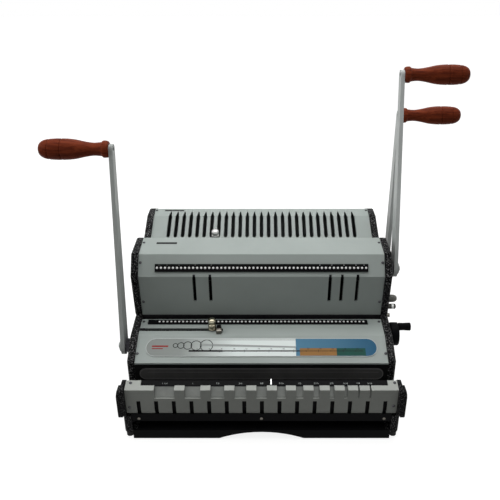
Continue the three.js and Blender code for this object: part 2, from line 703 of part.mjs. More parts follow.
function punchBar(unit, drive, rackFront, rackBack) {
  const back = unit.barFront + unit.barDepth;
  const reach = drive.far;
  const bar = block(
    [-reach, reach], unit.barFront, back, unit.pinZ - unit.barHeight / 2, unit.pinZ + unit.barHeight / 2,
  );
  const tip = unit.throatFront - unit.tip;
  const row = spread(pins.count, (i) => (
    pinAlongY(pins.radius, back - lap, tip, rowPlace(i, pins.count, pins.pitch), unit.pinZ)
  ));
  const low = rackBackZ(drive, -1);
  const rootZ = low + drive.rackHeight;
  const rod = (side) => {
    const span = across(side, drive.near, drive.far);
    const post = block(span, unit.barFront, back, low, unit.pinZ);
    const link = block(span, unit.barFront, rackFront + lap, low, rootZ);
    return join(post, link, rack(drive, span, rackFront, rackBack, -1));
  };
  return join(bar, row, rod(left), rod(right));
}

// Levers. The shaft lies across the machine, and the arm, grip and cap share a frame that leans back at rest.
function leverShaft(drive, side, armNear, rackSide) {
  const inner = -plateOuter + gap;
  const shaft = rodX(drive.radius, across(side, inner, armNear + arm.thickness), drive.y, drive.z);
  const spacer = rodX(boss.radius, across(side, plateOuter + gap, armNear - gap), drive.y, drive.z);
  const wheels = [left, right].map((where) => (
    pinion(drive, across(where, drive.near + gap, drive.far - gap), pitchTurn(drive, rackSide))
  ));
  return join(shaft, spacer, ...wheels);
}

function leverArm(drive, side, armNear) {
  const lean = Math.asin((arm.hub - arm.tip) / arm.length);
  const outline = new THREE.Shape();
  outline.absarc(0, 0, arm.hub, Math.PI - lean, 2 * Math.PI + lean, false);
  outline.absarc(0, arm.length, arm.tip, lean, Math.PI - lean, false);
  outline.closePath();
  const span = across(side, armNear, armNear + arm.thickness);
  const bar = alongX(outline, span);
  const through = across(side, armNear - overrun, armNear + arm.thickness + overrun);
  return cut(bar, rodX(drive.radius + gap, through, 0, 0), rodX(arm.stud + gap, through, 0, arm.length));
}

function leverGrip(side, armNear) {
  const profile = gripAxialShares.map((share, i) => (
    new THREE.Vector2(gripRadialShares[i] * grip.radius, share * grip.length)
  ));
  const turned = new THREE.LatheGeometry([new THREE.Vector2(0, 0), ...profile], grip.sides);
  const base = armNear + arm.thickness + gap;
  const wood = turned.rotateZ(-side * quarter).translate(side * base, 0, arm.length);
  const studSpan = across(side, armNear, base + lap);
  return join(wood, rodX(arm.stud, studSpan, 0, arm.length));
}

function leverCap(side, armNear) {
  const base = armNear + arm.thickness + gap;
  const disc = rodX(hubCap.radius, across(side, base, base + hubCap.thickness), 0, 0);
  const buttonFar = base + hubCap.thickness + hubCap.buttonHeight;
  return join(disc, rodX(hubCap.button, across(side, base + lap, buttonFar), 0, 0));
}

function leverPieces(prefix, drive, side, armNear, lean, rackSide) {
  const leaning = new THREE.Group();
  leaning.position.set(0, drive.y, drive.z);
  leaning.rotation.x = -lean;
  leaning.add(
    named(`${prefix}_lever_arm`, leverArm(drive, side, armNear), leverGrey),
    named(`${prefix}_lever_handle`, leverGrip(side, armNear), redWood),
    named(`${prefix}_lever_cap`, leverCap(side, armNear), blackCast),
  );
  const pieces = new THREE.Group();
  pieces.add(named(`${prefix}_shaft`, leverShaft(drive, side, armNear, rackSide), darkSteel), leaning);
  return pieces;
}

// Controls on the right side.
function sizeCrank() {
  const disc = rodX(crank.radius, [crank.near, crank.far], crank.y, crank.z, fineSides);
  const spindle = rodX(crank.spindle, [crank.inner, crank.near + lap], crank.y, crank.z);
  const socketSpan = [crank.near - overrun, crank.far + overrun];
  const socket = rodX(peg.stud + gap, socketSpan, crank.y, crank.z + peg.offset);
  return cut(join(disc, spindle), socket);
}

function crankPeg() {
  const y = crank.y;
  const z = crank.z + peg.offset;
  const base = crank.far + gap;
  const neck = rodX(peg.radius * peg.neckShare, [base, base + lap * 2], y, z);
  const body = rodX(peg.radius, [base + lap, peg.far], y, z);
  return join(neck, body, rodX(peg.stud, [crank.near, base + lap], y, z));
}

function domedKnob(control, nearX) {
  const length = control.far - nearX;
  const rise = control.radius / 2;
  const profile = [[0, 0], [control.radius, 0], [control.radius, length - rise]];
  const dome = new THREE.EllipseCurve(0, length - rise, control.radius, rise, 0, quarter);
  const curve = dome.getPoints(arcSteps / 2).slice(1, -1).map((point) => [point.x, point.y]);
  const points = [...profile, ...curve, [0, length]].map(([r, t]) => new THREE.Vector2(r, t));
  const turned = new THREE.LatheGeometry(points, roundSides).rotateZ(-quarter);
  return turned.translate(nearX, control.y, control.z);
}

function depthKnobPiece() {
  const near = plateOuter + runningGap;
  const spindle = rodX(depthKnob.spindle, [depthKnob.inner, near + lap], depthKnob.y, depthKnob.z);
  return join(domedKnob(depthKnob, near), spindle);
}

function selectorLever() {
  const near = plateOuter + runningGap;
  const spindle = rodX(selector.spindle, [selector.inner, near + lap], selector.y, selector.z);
  const bar = alongX(
    obround(selector.armLength, 2 * selector.spindle + lap, selector.y + selector.armShift, selector.z),
    [near, near + selector.armDepth],
  );
  return join(domedKnob(selector, near), spindle, bar);
}

function stopStud() {
  const near = plateOuter + gap;
  const head = rodX(stud.radius, [near, stud.far], stud.y, stud.z);
  return join(head, rodX(stud.shank, [plateInner + overrun, near + lap], stud.y, stud.z));
}

// Edge guides and their thumb knobs.
const deckSlope = (lowerBack.z - lowerBend.z) / (lowerBack.y - lowerBend.y);
const deckZ = (y) => lowerBend.z + deckSlope * (y - lowerBend.y);
const edgeSpan = [edgeGuide.left, edgeGuide.right];

// The lower guide lies under the deck. Its shoe and the stud of its knob stand up through the slot, and its
// finger hangs in the throat.
const lowerKnobZ = deckZ(lowerGuide.knobY) + deckSlope * knob.neck + gap;

function lowerEdgeGuide() {
  const top = lowerGuide.z + lowerGuide.thickness;
  const back = lowerBack.y + throatWidth - edgeGuide.inset;
  const path = [[lowerGuide.front, top], [back, top], [back, lowerGuide.bottom]];
  const shoeZ = deckZ(lowerGuide.knobY + lowerGuide.shoeBack) + lowerGuide.shoeLift;
  const tabSpan = [lowerGuide.tabLeft, edgeGuide.right];
  const tab = block(
    tabSpan, lowerGuide.knobY - lowerGuide.tabHalf, lowerGuide.knobY + lowerGuide.tabHalf,
    lowerGuide.z, shoeZ + lap,
  );
  const shoe = block(
    tabSpan, lowerGuide.knobY - lowerGuide.shoeFront, lowerGuide.knobY + lowerGuide.shoeBack,
    shoeZ, shoeZ + lowerGuide.shoeHeight,
  );
  const screwTop = lowerKnobZ + knob.bore - gap;
  const screw = rodZ(knob.stem, lowerGuide.z, screwTop, lowerGuide.knobX, lowerGuide.knobY);
  return join(drawn(folded(path, lowerGuide.thickness), edgeSpan), tab, shoe, screw);
}

function thumbKnob() {
  const neck = rodZ(knob.neck, 0, knob.neckHeight + lap, 0, 0);
  return join(neck, rodZ(knob.radius, knob.neckHeight, knob.height, 0, 0));
}

function lowerEdgeKnob() {
  const bored = cut(thumbKnob(), rodZ(knob.stem + gap, -overrun, knob.bore, 0, 0));
  return bored.translate(lowerGuide.knobX, lowerGuide.knobY, lowerKnobZ);
}

function upperEdgeGuide() {
  const dieFront = upperPunch.throatFront + throatWidth;
  const top = upperPunch.dieTop + gap + edgeGuide.thickness;
  const front = upperPunch.throatFront + upperGuide.inset;
  const back = dieFront + die.depth + gap + edgeGuide.thickness;
  const path = [[front, upperGuide.bottom], [front, top], [back, top], [back, top - upperGuide.lip]];
  const hole = rodZ(knob.stem + gap, top - overrun, top + overrun, upperGuide.knobX, upperGuide.knobY);
  return cut(drawn(folded(path, edgeGuide.thickness), edgeSpan), hole);
}

function upperEdgeKnob() {
  const z = upperPunch.dieTop + 2 * gap + edgeGuide.thickness;
  const stem = rodZ(knob.stem, -edgeGuide.thickness, lap, 0, 0);
  return join(thumbKnob(), stem).translate(upperGuide.knobX, upperGuide.knobY, z);
}

// Strips that carry the pull pins, with a raised rail along the row.
function pinStrip({ from, to, depth }) {
  const rise = strip.thickness + strip.railRise;
  const points = [
    [-depth / 2, 0], [depth / 2, 0], [depth / 2, strip.thickness], [strip.railHalf, strip.thickness],
    [strip.railHalf, rise], [-strip.railHalf, rise], [-strip.railHalf, strip.thickness],
    [-depth / 2, strip.thickness],
  ];
  return drawn(points, [from, to]);
}

function chartPlate() {
  return alongZ(obround(coverWidth - 2 * chart.inset, chart.depth), 0, chart.thickness);
}

function onFace(frame, piece) {
  frame.add(piece);
  return frame;
}

// The whole machine.
const machine = new THREE.Group();
const trains = { closer: closerDrive, upper_punch: upperDrive, lower_punch: lowerDrive };
for (const [word, side] of [['left', left], ['right', right]]) {
  for (const [prefix, drive] of Object.entries(trains)) {
    machine.add(named(`${prefix}_bush_${word}`, bush(side, drive), brass));
  }
  machine.add(
    named(`lower_side_plate_${word}`, lowerSidePlate(side), blackCast),
    named(`upper_side_plate_${word}`, upperSidePlate(side), blackCast),
    named(`closer_end_cap_${word}`, closerEndCap(side), blackCast),
  );
  const footX = side * (plateInner + plateOuter) / 2;
  machine.add(
    named(`foot_front_${word}`, footPad(footX, foot.front), rubber),
    named(`foot_back_${word}`, footPad(footX, foot.back), rubber),
  );
}
machine.add(
  named('front_rail', frontRail(), blackSheet),
  named('base_floor', baseFloor(), blackSheet),
  named('lower_cover', lowerCover(), paleGrey),
  named('trough_wall', troughWall(), blackSheet),
  named('upper_cover', upperCover(), paleGrey),
  named('rear_cover', rearCover(), paleGrey),
  named('back_panel', backPanel(), blackSheet),
  named('chip_drawer', chipDrawer(), blackSheet),
  named('closer_cover', closerCover(), paleGrey),
  named('closer_base', closerBase(), blackSheet),
  named('closer_anvil', closerAnvil(), brightSteel),
  named('size_strip', sizeStrip(), blackSheet),
  named('size_pointer', sizePointer(), brightSteel),
  named('closing_bar', closingBar(), darkSteel),
  named('lower_punch_guide', punchGuide(lowerPunch), darkSteel),
  named('lower_die_plate', diePlate(lowerPunch), darkSteel),
  named('lower_punch_bar', punchBar(lowerPunch, lowerDrive, lowerRack.front, lowerRack.back), darkSteel),
  named('upper_punch_guide', punchGuide(upperPunch), darkSteel),
  named('upper_die_plate', diePlate(upperPunch), darkSteel),
  named('upper_punch_bar', punchBar(upperPunch, upperDrive, upperPunch.barFront, upperRack.back), darkSteel),
  leverPieces('closer', closerDrive, left, closerArmNear, closerLean, 1),
  leverPieces('upper_punch', upperDrive, right, upperArmNear, upperLean, -1),
  leverPieces('lower_punch', lowerDrive, right, lowerArmNear, lowerLean, -1),
  named('size_crank', sizeCrank(), blackCast),
  named('crank_peg', crankPeg(), blackCast),
  named('depth_knob', depthKnobPiece(), olivePlastic),
  named('selector_lever', selectorLever(), olivePlastic),
  named('stop_stud', stopStud(), brightSteel),
  named('lower_edge_guide', lowerEdgeGuide(), blackSheet),
  named('lower_edge_knob', lowerEdgeKnob(), brass),
  named('upper_edge_guide', upperEdgeGuide(), brightSteel),
  named('upper_edge_knob', upperEdgeKnob(), brightSteel),
  onFace(
    faceFrame(lowerBend, lowerBack, lowerStrip.share),
    named('lower_pin_strip', pinStrip(lowerStrip), blackSheet),
  ),
  onFace(
    faceFrame(upperNose, upperBend, upperStrip.share),
    named('upper_pin_strip', pinStrip(upperStrip), blackSheet),
  ),
  onFace(
    faceFrame(lowerLip, lowerBend, chart.share),
    named('chart_plate', chartPlate(), chartInk),
  ),
);

// The origin is the middle of the machine's footprint, on the surface that it stands on.
const extent = new THREE.Box3().setFromObject(machine);
const middle = extent.getCenter(new THREE.Vector3());
machine.position.set(-middle.x, -middle.y, -extent.min.z);

export default machine;
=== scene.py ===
import json
import math

import bmesh
import bpy
from mathutils import Matrix, Vector


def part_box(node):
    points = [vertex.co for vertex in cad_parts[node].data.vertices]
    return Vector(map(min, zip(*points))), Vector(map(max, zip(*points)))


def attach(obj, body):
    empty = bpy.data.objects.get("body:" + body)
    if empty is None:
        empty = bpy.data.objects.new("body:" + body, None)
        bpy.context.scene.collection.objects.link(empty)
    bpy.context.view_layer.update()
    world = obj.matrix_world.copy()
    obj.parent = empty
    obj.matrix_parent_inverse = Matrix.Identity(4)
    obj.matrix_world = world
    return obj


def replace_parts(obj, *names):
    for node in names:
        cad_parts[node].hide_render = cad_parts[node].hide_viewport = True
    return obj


# A coil binding machine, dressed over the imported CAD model: the finish of every surface, the small fittings
# and the printed plates. Lengths are metres. "spot" measures x from the middle of the covers and y from the
# front face of the closer.
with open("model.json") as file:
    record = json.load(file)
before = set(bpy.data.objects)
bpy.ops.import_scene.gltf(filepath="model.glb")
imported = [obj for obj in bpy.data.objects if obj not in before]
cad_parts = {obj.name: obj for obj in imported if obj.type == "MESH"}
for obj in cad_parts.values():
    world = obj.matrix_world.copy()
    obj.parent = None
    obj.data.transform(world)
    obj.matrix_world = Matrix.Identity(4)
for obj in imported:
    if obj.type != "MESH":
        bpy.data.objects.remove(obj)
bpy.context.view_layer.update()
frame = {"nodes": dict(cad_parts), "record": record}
nodes = frame["nodes"]

MM = 0.001
cover_low, cover_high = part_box("lower_cover")
closer_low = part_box("closer_cover")[0]
MID_X = (cover_low[0] + cover_high[0]) / 2
FRONT_Y = closer_low[1]

# The side profile of the covers as (y, z) places.
CLOSER_CREST = (0.0, 0.0885)
CLOSER_CROWN = (0.0085, 0.0906)
CLOSER_TAB = (0.0175, 0.0928)
LIP = (0.052, 0.098)
BEND = (0.093, 0.120)
BACK = (0.1315, 0.126)
UPPER_FOOT = (0.1375, 0.131)
NOSE = (0.133, 0.203)
UPPER_BEND = (0.152, 0.233)
UPPER_BACK = (0.201, 0.239)
OPENER_FRONT = (0.219, 0.192)
OPENER_BEND = (0.303, 0.235)
OPENER_CROWN = (0.327, 0.239)


def spot(x, y, z):
    return Vector((MID_X + x, FRONT_Y + y, z))


def face_matrix(low, high, share, x, lift=0.0):
    """A frame on the face between two profile places, with Z out of the face and Y up its slope."""
    slope = math.atan2(high[1] - low[1], high[0] - low[0])
    y = low[0] + share * (high[0] - low[0]) - math.sin(slope) * lift
    z = low[1] + share * (high[1] - low[1]) + math.cos(slope) * lift
    return Matrix.Translation(spot(x, y, z)) @ Matrix.Rotation(slope, 4, "X")


# Materials.
NOISE_LOW = 0.3
NOISE_HIGH = 0.7


def shader(name, color, rough, metal=0.0, specular=0.5):
    """A principled material with its constants on the shader's own sockets."""
    material = bpy.data.materials.new(name)
    material.use_nodes = True
    main = material.node_tree.nodes["Principled BSDF"]
    main.inputs["Base Color"].default_value = (*color, 1)
    main.inputs["Roughness"].default_value = rough
    main.inputs["Metallic"].default_value = metal
    main.inputs["Specular IOR Level"].default_value = specular
    return material, material.node_tree, main


def coordinates(tree, stretch=(1, 1, 1)):
    """Places on the object, with each axis multiplied by its stretch."""
    place = tree.nodes.new("ShaderNodeTexCoord")
    mapping = tree.nodes.new("ShaderNodeMapping")
    mapping.inputs["Scale"].default_value = stretch
    tree.links.new(place.outputs["Object"], mapping.inputs["Vector"])
    return mapping.outputs["Vector"]


def noise(tree, vector, scale, detail, rough=0.55, distort=0.0):
    texture = tree.nodes.new("ShaderNodeTexNoise")
    texture.inputs["Scale"].default_value = scale
    texture.inputs["Detail"].default_value = detail
    texture.inputs["Roughness"].default_value = rough
    texture.inputs["Distortion"].default_value = distort
    tree.links.new(vector, texture.inputs["Vector"])
    return texture.outputs["Fac"]


def cells(tree, vector, scale):
    """The distance to the nearest of many scattered points, with soft valleys between them."""
    texture = tree.nodes.new("ShaderNodeTexVoronoi")
    texture.feature = "SMOOTH_F1"
    texture.inputs["Scale"].default_value = scale
    tree.links.new(vector, texture.inputs["Vector"])
    return texture.outputs["Distance"]


def ramp(tree, factor, stops):
    """A colour ramp from (place, colour) stops."""
    node = tree.nodes.new("ShaderNodeValToRGB")
    while len(node.color_ramp.elements) < len(stops):
        node.color_ramp.elements.new(0.5)
    for element, (place, color) in zip(node.color_ramp.elements, stops):
        element.position = place
        element.color = (*color, 1)
    tree.links.new(factor, node.inputs["Fac"])
    return node.outputs["Color"]


def spread(tree, factor, low, high, start, end):
    """A factor between start and end, stretched to run from low to high."""
    node = tree.nodes.new("ShaderNodeMapRange")
    node.inputs["From Min"].default_value = start
    node.inputs["From Max"].default_value = end
    node.inputs["To Min"].default_value = low
    node.inputs["To Max"].default_value = high
    tree.links.new(factor, node.inputs["Value"])
    return node.outputs["Result"]


def bump(tree, main, height, distance, strength, after=None):
    """Relief from a height. "after" is the normal of a coarser relief that it lies on."""
    node = tree.nodes.new("ShaderNodeBump")
    node.inputs["Strength"].default_value = strength
    node.inputs["Distance"].default_value = distance
    tree.links.new(height, node.inputs["Height"])
    if after is not None:
        tree.links.new(after, node.inputs["Normal"])
    tree.links.new(node.outputs["Normal"], main.inputs["Normal"])
    return node.outputs["Normal"]


def shade(color, amount):
    return tuple(channel * amount for channel in color)


def drifting(tree, factor, color, low, high):
    """A colour that drifts between two shares of itself."""
    return ramp(tree, factor, [(NOISE_LOW, shade(color, low)), (NOISE_HIGH, shade(color, high))])


def vary_gloss(tree, main, factor, low, high):
    tree.links.new(spread(tree, factor, low, high, NOISE_LOW, NOISE_HIGH), main.inputs["Roughness"])


def mixed(tree, factor, first, second, blend="MIX"):
    """Two colours mixed by a number or by another node's output."""
    mix = tree.nodes.new("ShaderNodeMix")
    mix.data_type = "RGBA"
    mix.blend_type = blend
    if isinstance(factor, float):
        mix.inputs["Factor"].default_value = factor
    else:
        tree.links.new(factor, mix.inputs["Factor"])
    tree.links.new(first, mix.inputs["A"])
    tree.links.new(second, mix.inputs["B"])
    return mix.outputs["Result"]


def faces_up(tree):
    """0 on walls and steep slopes, and 1 on faces that look almost straight up."""
    facing = tree.nodes.new("ShaderNodeNewGeometry")
    split = tree.nodes.new("ShaderNodeSeparateXYZ")
    tree.links.new(facing.outputs["Normal"], split.inputs[0])
    return spread(tree, split.outputs["Z"], 0.0, 1.0, 0.75, 0.96)


def satin_paint(name, color, rough, drift=0.06, peel=0.04 * MM, specular=0.2, painted_top_light=0.0):
    """Sprayed paint with a slow drift of tone and a fine orange peel, and optionally faces that look up made
    lighter, as painted light from above.
    """
    material, tree, main = shader(name, color, rough, specular=specular)
    place = coordinates(tree)
    slow = noise(tree, place, 9.0, 5.0, 0.6, 0.4)
    tone = drifting(tree, slow, color, 1 - drift, 1 + drift)
    # Painted light: faces that look up get a lighter tone, standing in for light falling from above.
    if painted_top_light:
        top_lit = drifting(tree, slow, color, 1 + painted_top_light - drift, 1 + painted_top_light + drift)
        tone = mixed(tree, faces_up(tree), tone, top_lit)
    tree.links.new(tone, main.inputs["Base Color"])
    smudge = noise(tree, place, 34.0, 6.0, 0.65, 0.8)
    vary_gloss(tree, main, smudge, rough - 0.08, rough + 0.1)
    bump(tree, main, noise(tree, place, 1400.0, 2.0), peel, 0.5)
    return material


def wrinkle_paint(name, color, glint_fleck):
    """Black wrinkle finish on a casting, with pale flecks scattered over it as painted glints."""
    material, tree, main = shader(name, color, 0.5, specular=0.03)
    place = coordinates(tree)
    crests = cells(tree, place, 620.0)
    fine = noise(tree, place, 1500.0, 3.0)
    first = bump(tree, main, crests, 0.7 * MM, 0.9)
    bump(tree, main, fine, 0.2 * MM, 0.6, after=first)
    glint_grains = noise(tree, place, 520.0, 2.0, 0.75)
    # Painted glints: pale flecks at random spots of the noise.
    tone = ramp(tree, glint_grains, [(0.565, color), (0.605, glint_fleck)])
    tree.links.new(tone, main.inputs["Base Color"])
    tree.links.new(spread(tree, glint_grains, 0.34, 0.7, 0.35, 0.65), main.inputs["Roughness"])
    return material


def brushed_metal(name, color, rough, along=0, metal=1.0, drift=0.15):
    """Metal with fine lines along one axis and a faint stain."""
    material, tree, main = shader(name, color, rough, metal)
    stretch = [1.0, 1.0, 1.0]
    stretch[along] = 0.02
    lines = noise(tree, coordinates(tree, stretch), 2600.0, 3.0)
    stain = noise(tree, coordinates(tree), 40.0, 5.0, 0.6, 0.6)
    tree.links.new(drifting(tree, stain, color, 1 - drift, 1 + drift), main.inputs["Base Color"])
    vary_gloss(tree, main, lines, rough - 0.08, rough + 0.14)
    bump(tree, main, lines, 0.02 * MM, 0.4)
    return material


def moulded(name, color, rough, grain=0.05 * MM, specular=0.4):
    """Moulded plastic or rubber: even colour, a fine sparked texture and slow changes of gloss."""
    material, tree, main = shader(name, color, rough, specular=specular)
    place = coordinates(tree)
    slow = noise(tree, place, 60.0, 4.0)
    tree.links.new(drifting(tree, slow, color, 0.85, 1.15), main.inputs["Base Color"])
    vary_gloss(tree, main, slow, rough - 0.06, rough + 0.08)
    bump(tree, main, noise(tree, place, 2200.0, 2.0), grain, 0.5)
    return material


def turned_wood(name, dark, light):
    """Red brown lacquered wood. The grain runs along Z, the axis that a grip is turned about."""
    material, tree, main = shader(name, light, 0.45, specular=0.03)
    grain = noise(tree, coordinates(tree, (1.0, 1.0, 0.09)), 210.0, 4.0, 0.6, 1.2)
    figure = noise(tree, coordinates(tree, (1.0, 1.0, 0.3)), 46.0, 3.0, 0.5, 0.6)
    pores = noise(tree, coordinates(tree, (1.0, 1.0, 0.05)), 1500.0, 3.0, 0.6)
    tone = ramp(tree, grain, [(0.34, dark), (0.62, light)])
    shadow = ramp(tree, figure, [(0.35, (0.78, 0.74, 0.72)), (0.65, (1.0, 1.0, 1.0))])
    pore_tone = ramp(tree, pores, [(0.36, (0.7, 0.62, 0.6)), (0.5, (1.0, 1.0, 1.0))])
    for layer in (shadow, pore_tone):
        tone = mixed(tree, 0.8, tone, layer, "MULTIPLY")
    tree.links.new(tone, main.inputs["Base Color"])
    bump(tree, main, pores, 0.05 * MM, 0.35)
    return material


def printed(name, color, fade=None):
    """Printed ink under a thin film. "fade" lists its colours along X, as (x, colour)."""
    rough = 0.45
    material, tree, main = shader(name, color, rough, specular=0.12)
    place = coordinates(tree)
    slow = noise(tree, place, 80.0, 4.0)
    if fade is None:
        tone = drifting(tree, slow, color, 0.93, 1.05)
    else:
        split = tree.nodes.new("ShaderNodeSeparateXYZ")
        tree.links.new(place, split.inputs[0])
        start, end = fade[0][0], fade[-1][0]
        along = spread(tree, split.outputs["X"], 0.0, 1.0, start, end)
        tone = ramp(tree, along, [((x - start) / (end - start), ink) for x, ink in fade])
    tree.links.new(tone, main.inputs["Base Color"])
    vary_gloss(tree, main, slow, rough - 0.06, rough + 0.06)
    bump(tree, main, noise(tree, place, 900.0, 2.0), 0.02 * MM, 0.3)
    return material


BLACK = (0.0025, 0.0025, 0.003)
BLACK_SHEET = (0.0045, 0.0045, 0.005)
paint_cover = satin_paint("cover_paint", (0.385, 0.428, 0.408), 0.5, specular=0.08)
# The closer's paint is made lighter on faces that look up: painted light from above.
paint_closer = satin_paint("closer_paint", (0.30, 0.313, 0.293), 0.48, specular=0.05, painted_top_light=0.38)
paint_arm = satin_paint("arm_paint", (0.42, 0.445, 0.43), 0.45)
# A lighter copy of the same arm paint for the two arms on the right: painted light.
paint_arm_lit = satin_paint("arm_paint_lit", (0.56, 0.59, 0.575), 0.45)
paint_black = satin_paint("black_sheet_paint", BLACK_SHEET, 0.5, drift=0.2, peel=0.06 * MM, specular=0.03)
paint_pad = satin_paint("pad_paint", (0.09, 0.089, 0.088), 0.45, drift=0.35, peel=0.1 * MM, specular=0.12)
# A pale paint for the painted highlights along the pad's rim and fold.
paint_pad_highlight = satin_paint("pad_edge_highlight_paint", (0.2, 0.198, 0.195), 0.45, drift=0.3, peel=0.1 * MM, specular=0.12)
paint_recess = satin_paint("recess_paint", (0.01, 0.01, 0.01), 0.5, drift=0.2, peel=0.1 * MM, specular=0.03)
# The end caps take a copy of the casting finish whose painted glints are dimmer, painted shade on the caps.
paint_casting = wrinkle_paint("black_wrinkle", BLACK, (0.2, 0.2, 0.2))
paint_cap = wrinkle_paint("cap_wrinkle", BLACK, (0.1, 0.1, 0.1))
steel_dark = brushed_metal("dark_steel", (0.03, 0.03, 0.033), 0.45)
steel_bright = brushed_metal("bright_steel", (0.5, 0.51, 0.5), 0.3)
steel_anvil = brushed_metal("anvil_steel", (0.19, 0.2, 0.188), 0.5, metal=0.6)
steel_clamp = brushed_metal("clamp_steel", (0.17, 0.16, 0.14), 0.35)
steel_screw = brushed_metal("screw_steel", (0.07, 0.07, 0.075), 0.34)
# The aluminium pin heads are coloured near white with no metal: a painted sheen standing in for their bright
# reflection.
pin_sheen_white = brushed_metal("pin_white_sheen", (0.92, 0.92, 0.91), 0.45, along=2, metal=0.0, drift=0.05)
metal_brass = brushed_metal("nickel_on_brass", (0.36, 0.335, 0.25), 0.16, along=2)
metal_chrome = brushed_metal("chrome", (0.52, 0.52, 0.51), 0.26, along=2, drift=0.05)
plastic_black = moulded("black_plastic", BLACK, 0.5, specular=0.03)
plastic_strip = moulded("strip_film", (0.006, 0.006, 0.0065), 0.7, specular=0.06)
plastic_olive = moulded("olive_plastic", (0.17, 0.17, 0.15), 0.5)
plastic_selector = moulded("selector_plastic", (0.045, 0.045, 0.036), 0.5)
rubber_foot = moulded("foot_rubber", (0.008, 0.008, 0.008), 0.8, grain=0.1 * MM, specular=0.25)
wood_grip = turned_wood("grip_wood", (0.115, 0.021, 0.0095), (0.232, 0.046, 0.0178))
ink_white = printed("ink_white", (0.86, 0.93, 0.91), fade=[
    (-0.18, (0.27, 0.29, 0.275)), (-0.125, (0.29, 0.315, 0.3)), (-0.085, (0.5, 0.54, 0.52)),
    (-0.04, (0.8, 0.87, 0.85)), (0.06, (0.86, 0.93, 0.91)),
])
ink_pale = printed("ink_pale", (0.56, 0.6, 0.585))
ink_band = printed("ink_band", (0.36, 0.385, 0.375))
ink_blue = printed("ink_blue", (0.055, 0.17, 0.285), fade=[
    (0.05, (0.085, 0.225, 0.345)), (0.11, (0.065, 0.185, 0.29)), (0.18, (0.015, 0.095, 0.185)),
])
ink_orange = printed("ink_orange", (0.32, 0.16, 0.045))
ink_green = printed("ink_green", (0.008, 0.07, 0.052))
ink_black = printed("ink_black", (0.008, 0.008, 0.009))
ink_red = printed("ink_red", (0.30, 0.015, 0.015))

by_slot = {
    "side_plate": paint_casting, "black_sheet": paint_black, "cover": paint_cover, "dark_steel": steel_dark,
    "bright_steel": steel_bright, "lever_arm": paint_arm, "lever_handle": wood_grip, "brass": metal_brass,
    "black_plastic": plastic_black, "olive_plastic": plastic_olive, "chrome_knob": metal_chrome,
    "chart": ink_white, "foot": rubber_foot,
}
by_node = {
    "closer_cover": paint_closer, "closer_anvil": steel_anvil, "closing_bar": paint_pad,
    "trough_wall": paint_recess, "size_strip": plastic_strip, "selector_lever": plastic_selector,
    "stop_stud": steel_clamp, "closer_end_cap_left": paint_cap, "closer_end_cap_right": paint_cap,
    # The two right arms take the lighter copy of the arm paint, which is painted light.
    "upper_punch_lever_arm": paint_arm_lit, "lower_punch_lever_arm": paint_arm_lit,
}

FLAT_ANGLE = math.radians(1.0)

slot_of = {part["node"]: part["material_slot"] for part in frame["record"]["subparts"]}
for name, piece in nodes.items():
    piece.data.materials.clear()
    piece.data.materials.append(by_node.get(name, by_slot[slot_of[name]]))
    # A known fault: the loaded triangles are loose, so this joins none and only drops 17 slim ones.
    plain = piece.modifiers.new("plain", "DECIMATE")
    plain.decimate_type = "DISSOLVE"
    plain.angle_limit = FLAT_ANGLE


# New pieces.
ON_AXIS = 1e-7
GRIP_SMOOTH = 60
TURNED_SMOOTH = 35
CRISP_SMOOTH = 30


def add_object(name, mesh, material, body, matrix=None):
    """Puts a mesh in the scene, on a body, with a material."""
    piece = bpy.data.objects.new(name, mesh)
    bpy.context.scene.collection.objects.link(piece)
    mesh.materials.append(material)
    if matrix is not None:
        piece.matrix_world = matrix
    bpy.context.view_layer.update()
    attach(piece, body)
    return piece


def finish_mesh(name, form, smooth=40.0):
    """A mesh from a form, shaded smooth up to an angle in degrees."""
    mesh = bpy.data.meshes.new(name)
    bmesh.ops.recalc_face_normals(form, faces=form.faces)
    form.to_mesh(mesh)
    form.free()
    mesh.shade_smooth()
    mesh.set_sharp_from_angle(angle=math.radians(smooth))
    return mesh


def lathe_form(profile, segments, wave=None):
    """A turned solid about Z from (radius, height) places. "wave" gives the radius share at an angle."""
    form = bmesh.new()
    rings = []
    for radius, height in profile:
        if radius < ON_AXIS:
            rings.append([form.verts.new((0, 0, height))])
            continue
        ring = []
        for i in range(segments):
            turn = 2 * math.pi * i / segments
            reach = radius * (wave(turn, height) if wave else 1)
            ring.append(form.verts.new((reach * math.cos(turn), reach * math.sin(turn), height)))
        rings.append(ring)
    for lower, upper in zip(rings, rings[1:]):
        for i in range(segments):
            k = (i + 1) % segments
            corners = [
                lower[i % len(lower)], lower[k % len(lower)], upper[k % len(upper)], upper[i % len(upper)],
            ]
            unique = list(dict.fromkeys(corners))
            if len(unique) > 2:
                form.faces.new(unique)
    return form


def smooth_profile(points, steps):
    """A curve through (radius, height) places."""
    result = []
    count = len(points)
    for i in range(count - 1):
        p0 = points[max(i - 1, 0)]
        p1, p2 = points[i], points[i + 1]
        p3 = points[min(i + 2, count - 1)]
        for step in range(steps):
            t = step / steps
            result.append(tuple(
                0.5 * (
                    2 * b + (c - a) * t + (2 * a - 5 * b + 4 * c - d) * t * t
                    + (3 * b - a - 3 * c + d) * t ** 3
                )
                for a, b, c, d in zip(p0, p1, p2, p3)
            ))
    result.append(points[-1])
    return [(max(radius, 0.0), height) for radius, height in result]


def toward_x(side, at):
    """Turns a piece made along Z so that it points along +X or -X from a place."""
    return Matrix.Translation(at) @ Matrix.Rotation(side * math.pi / 2, 4, "Y")


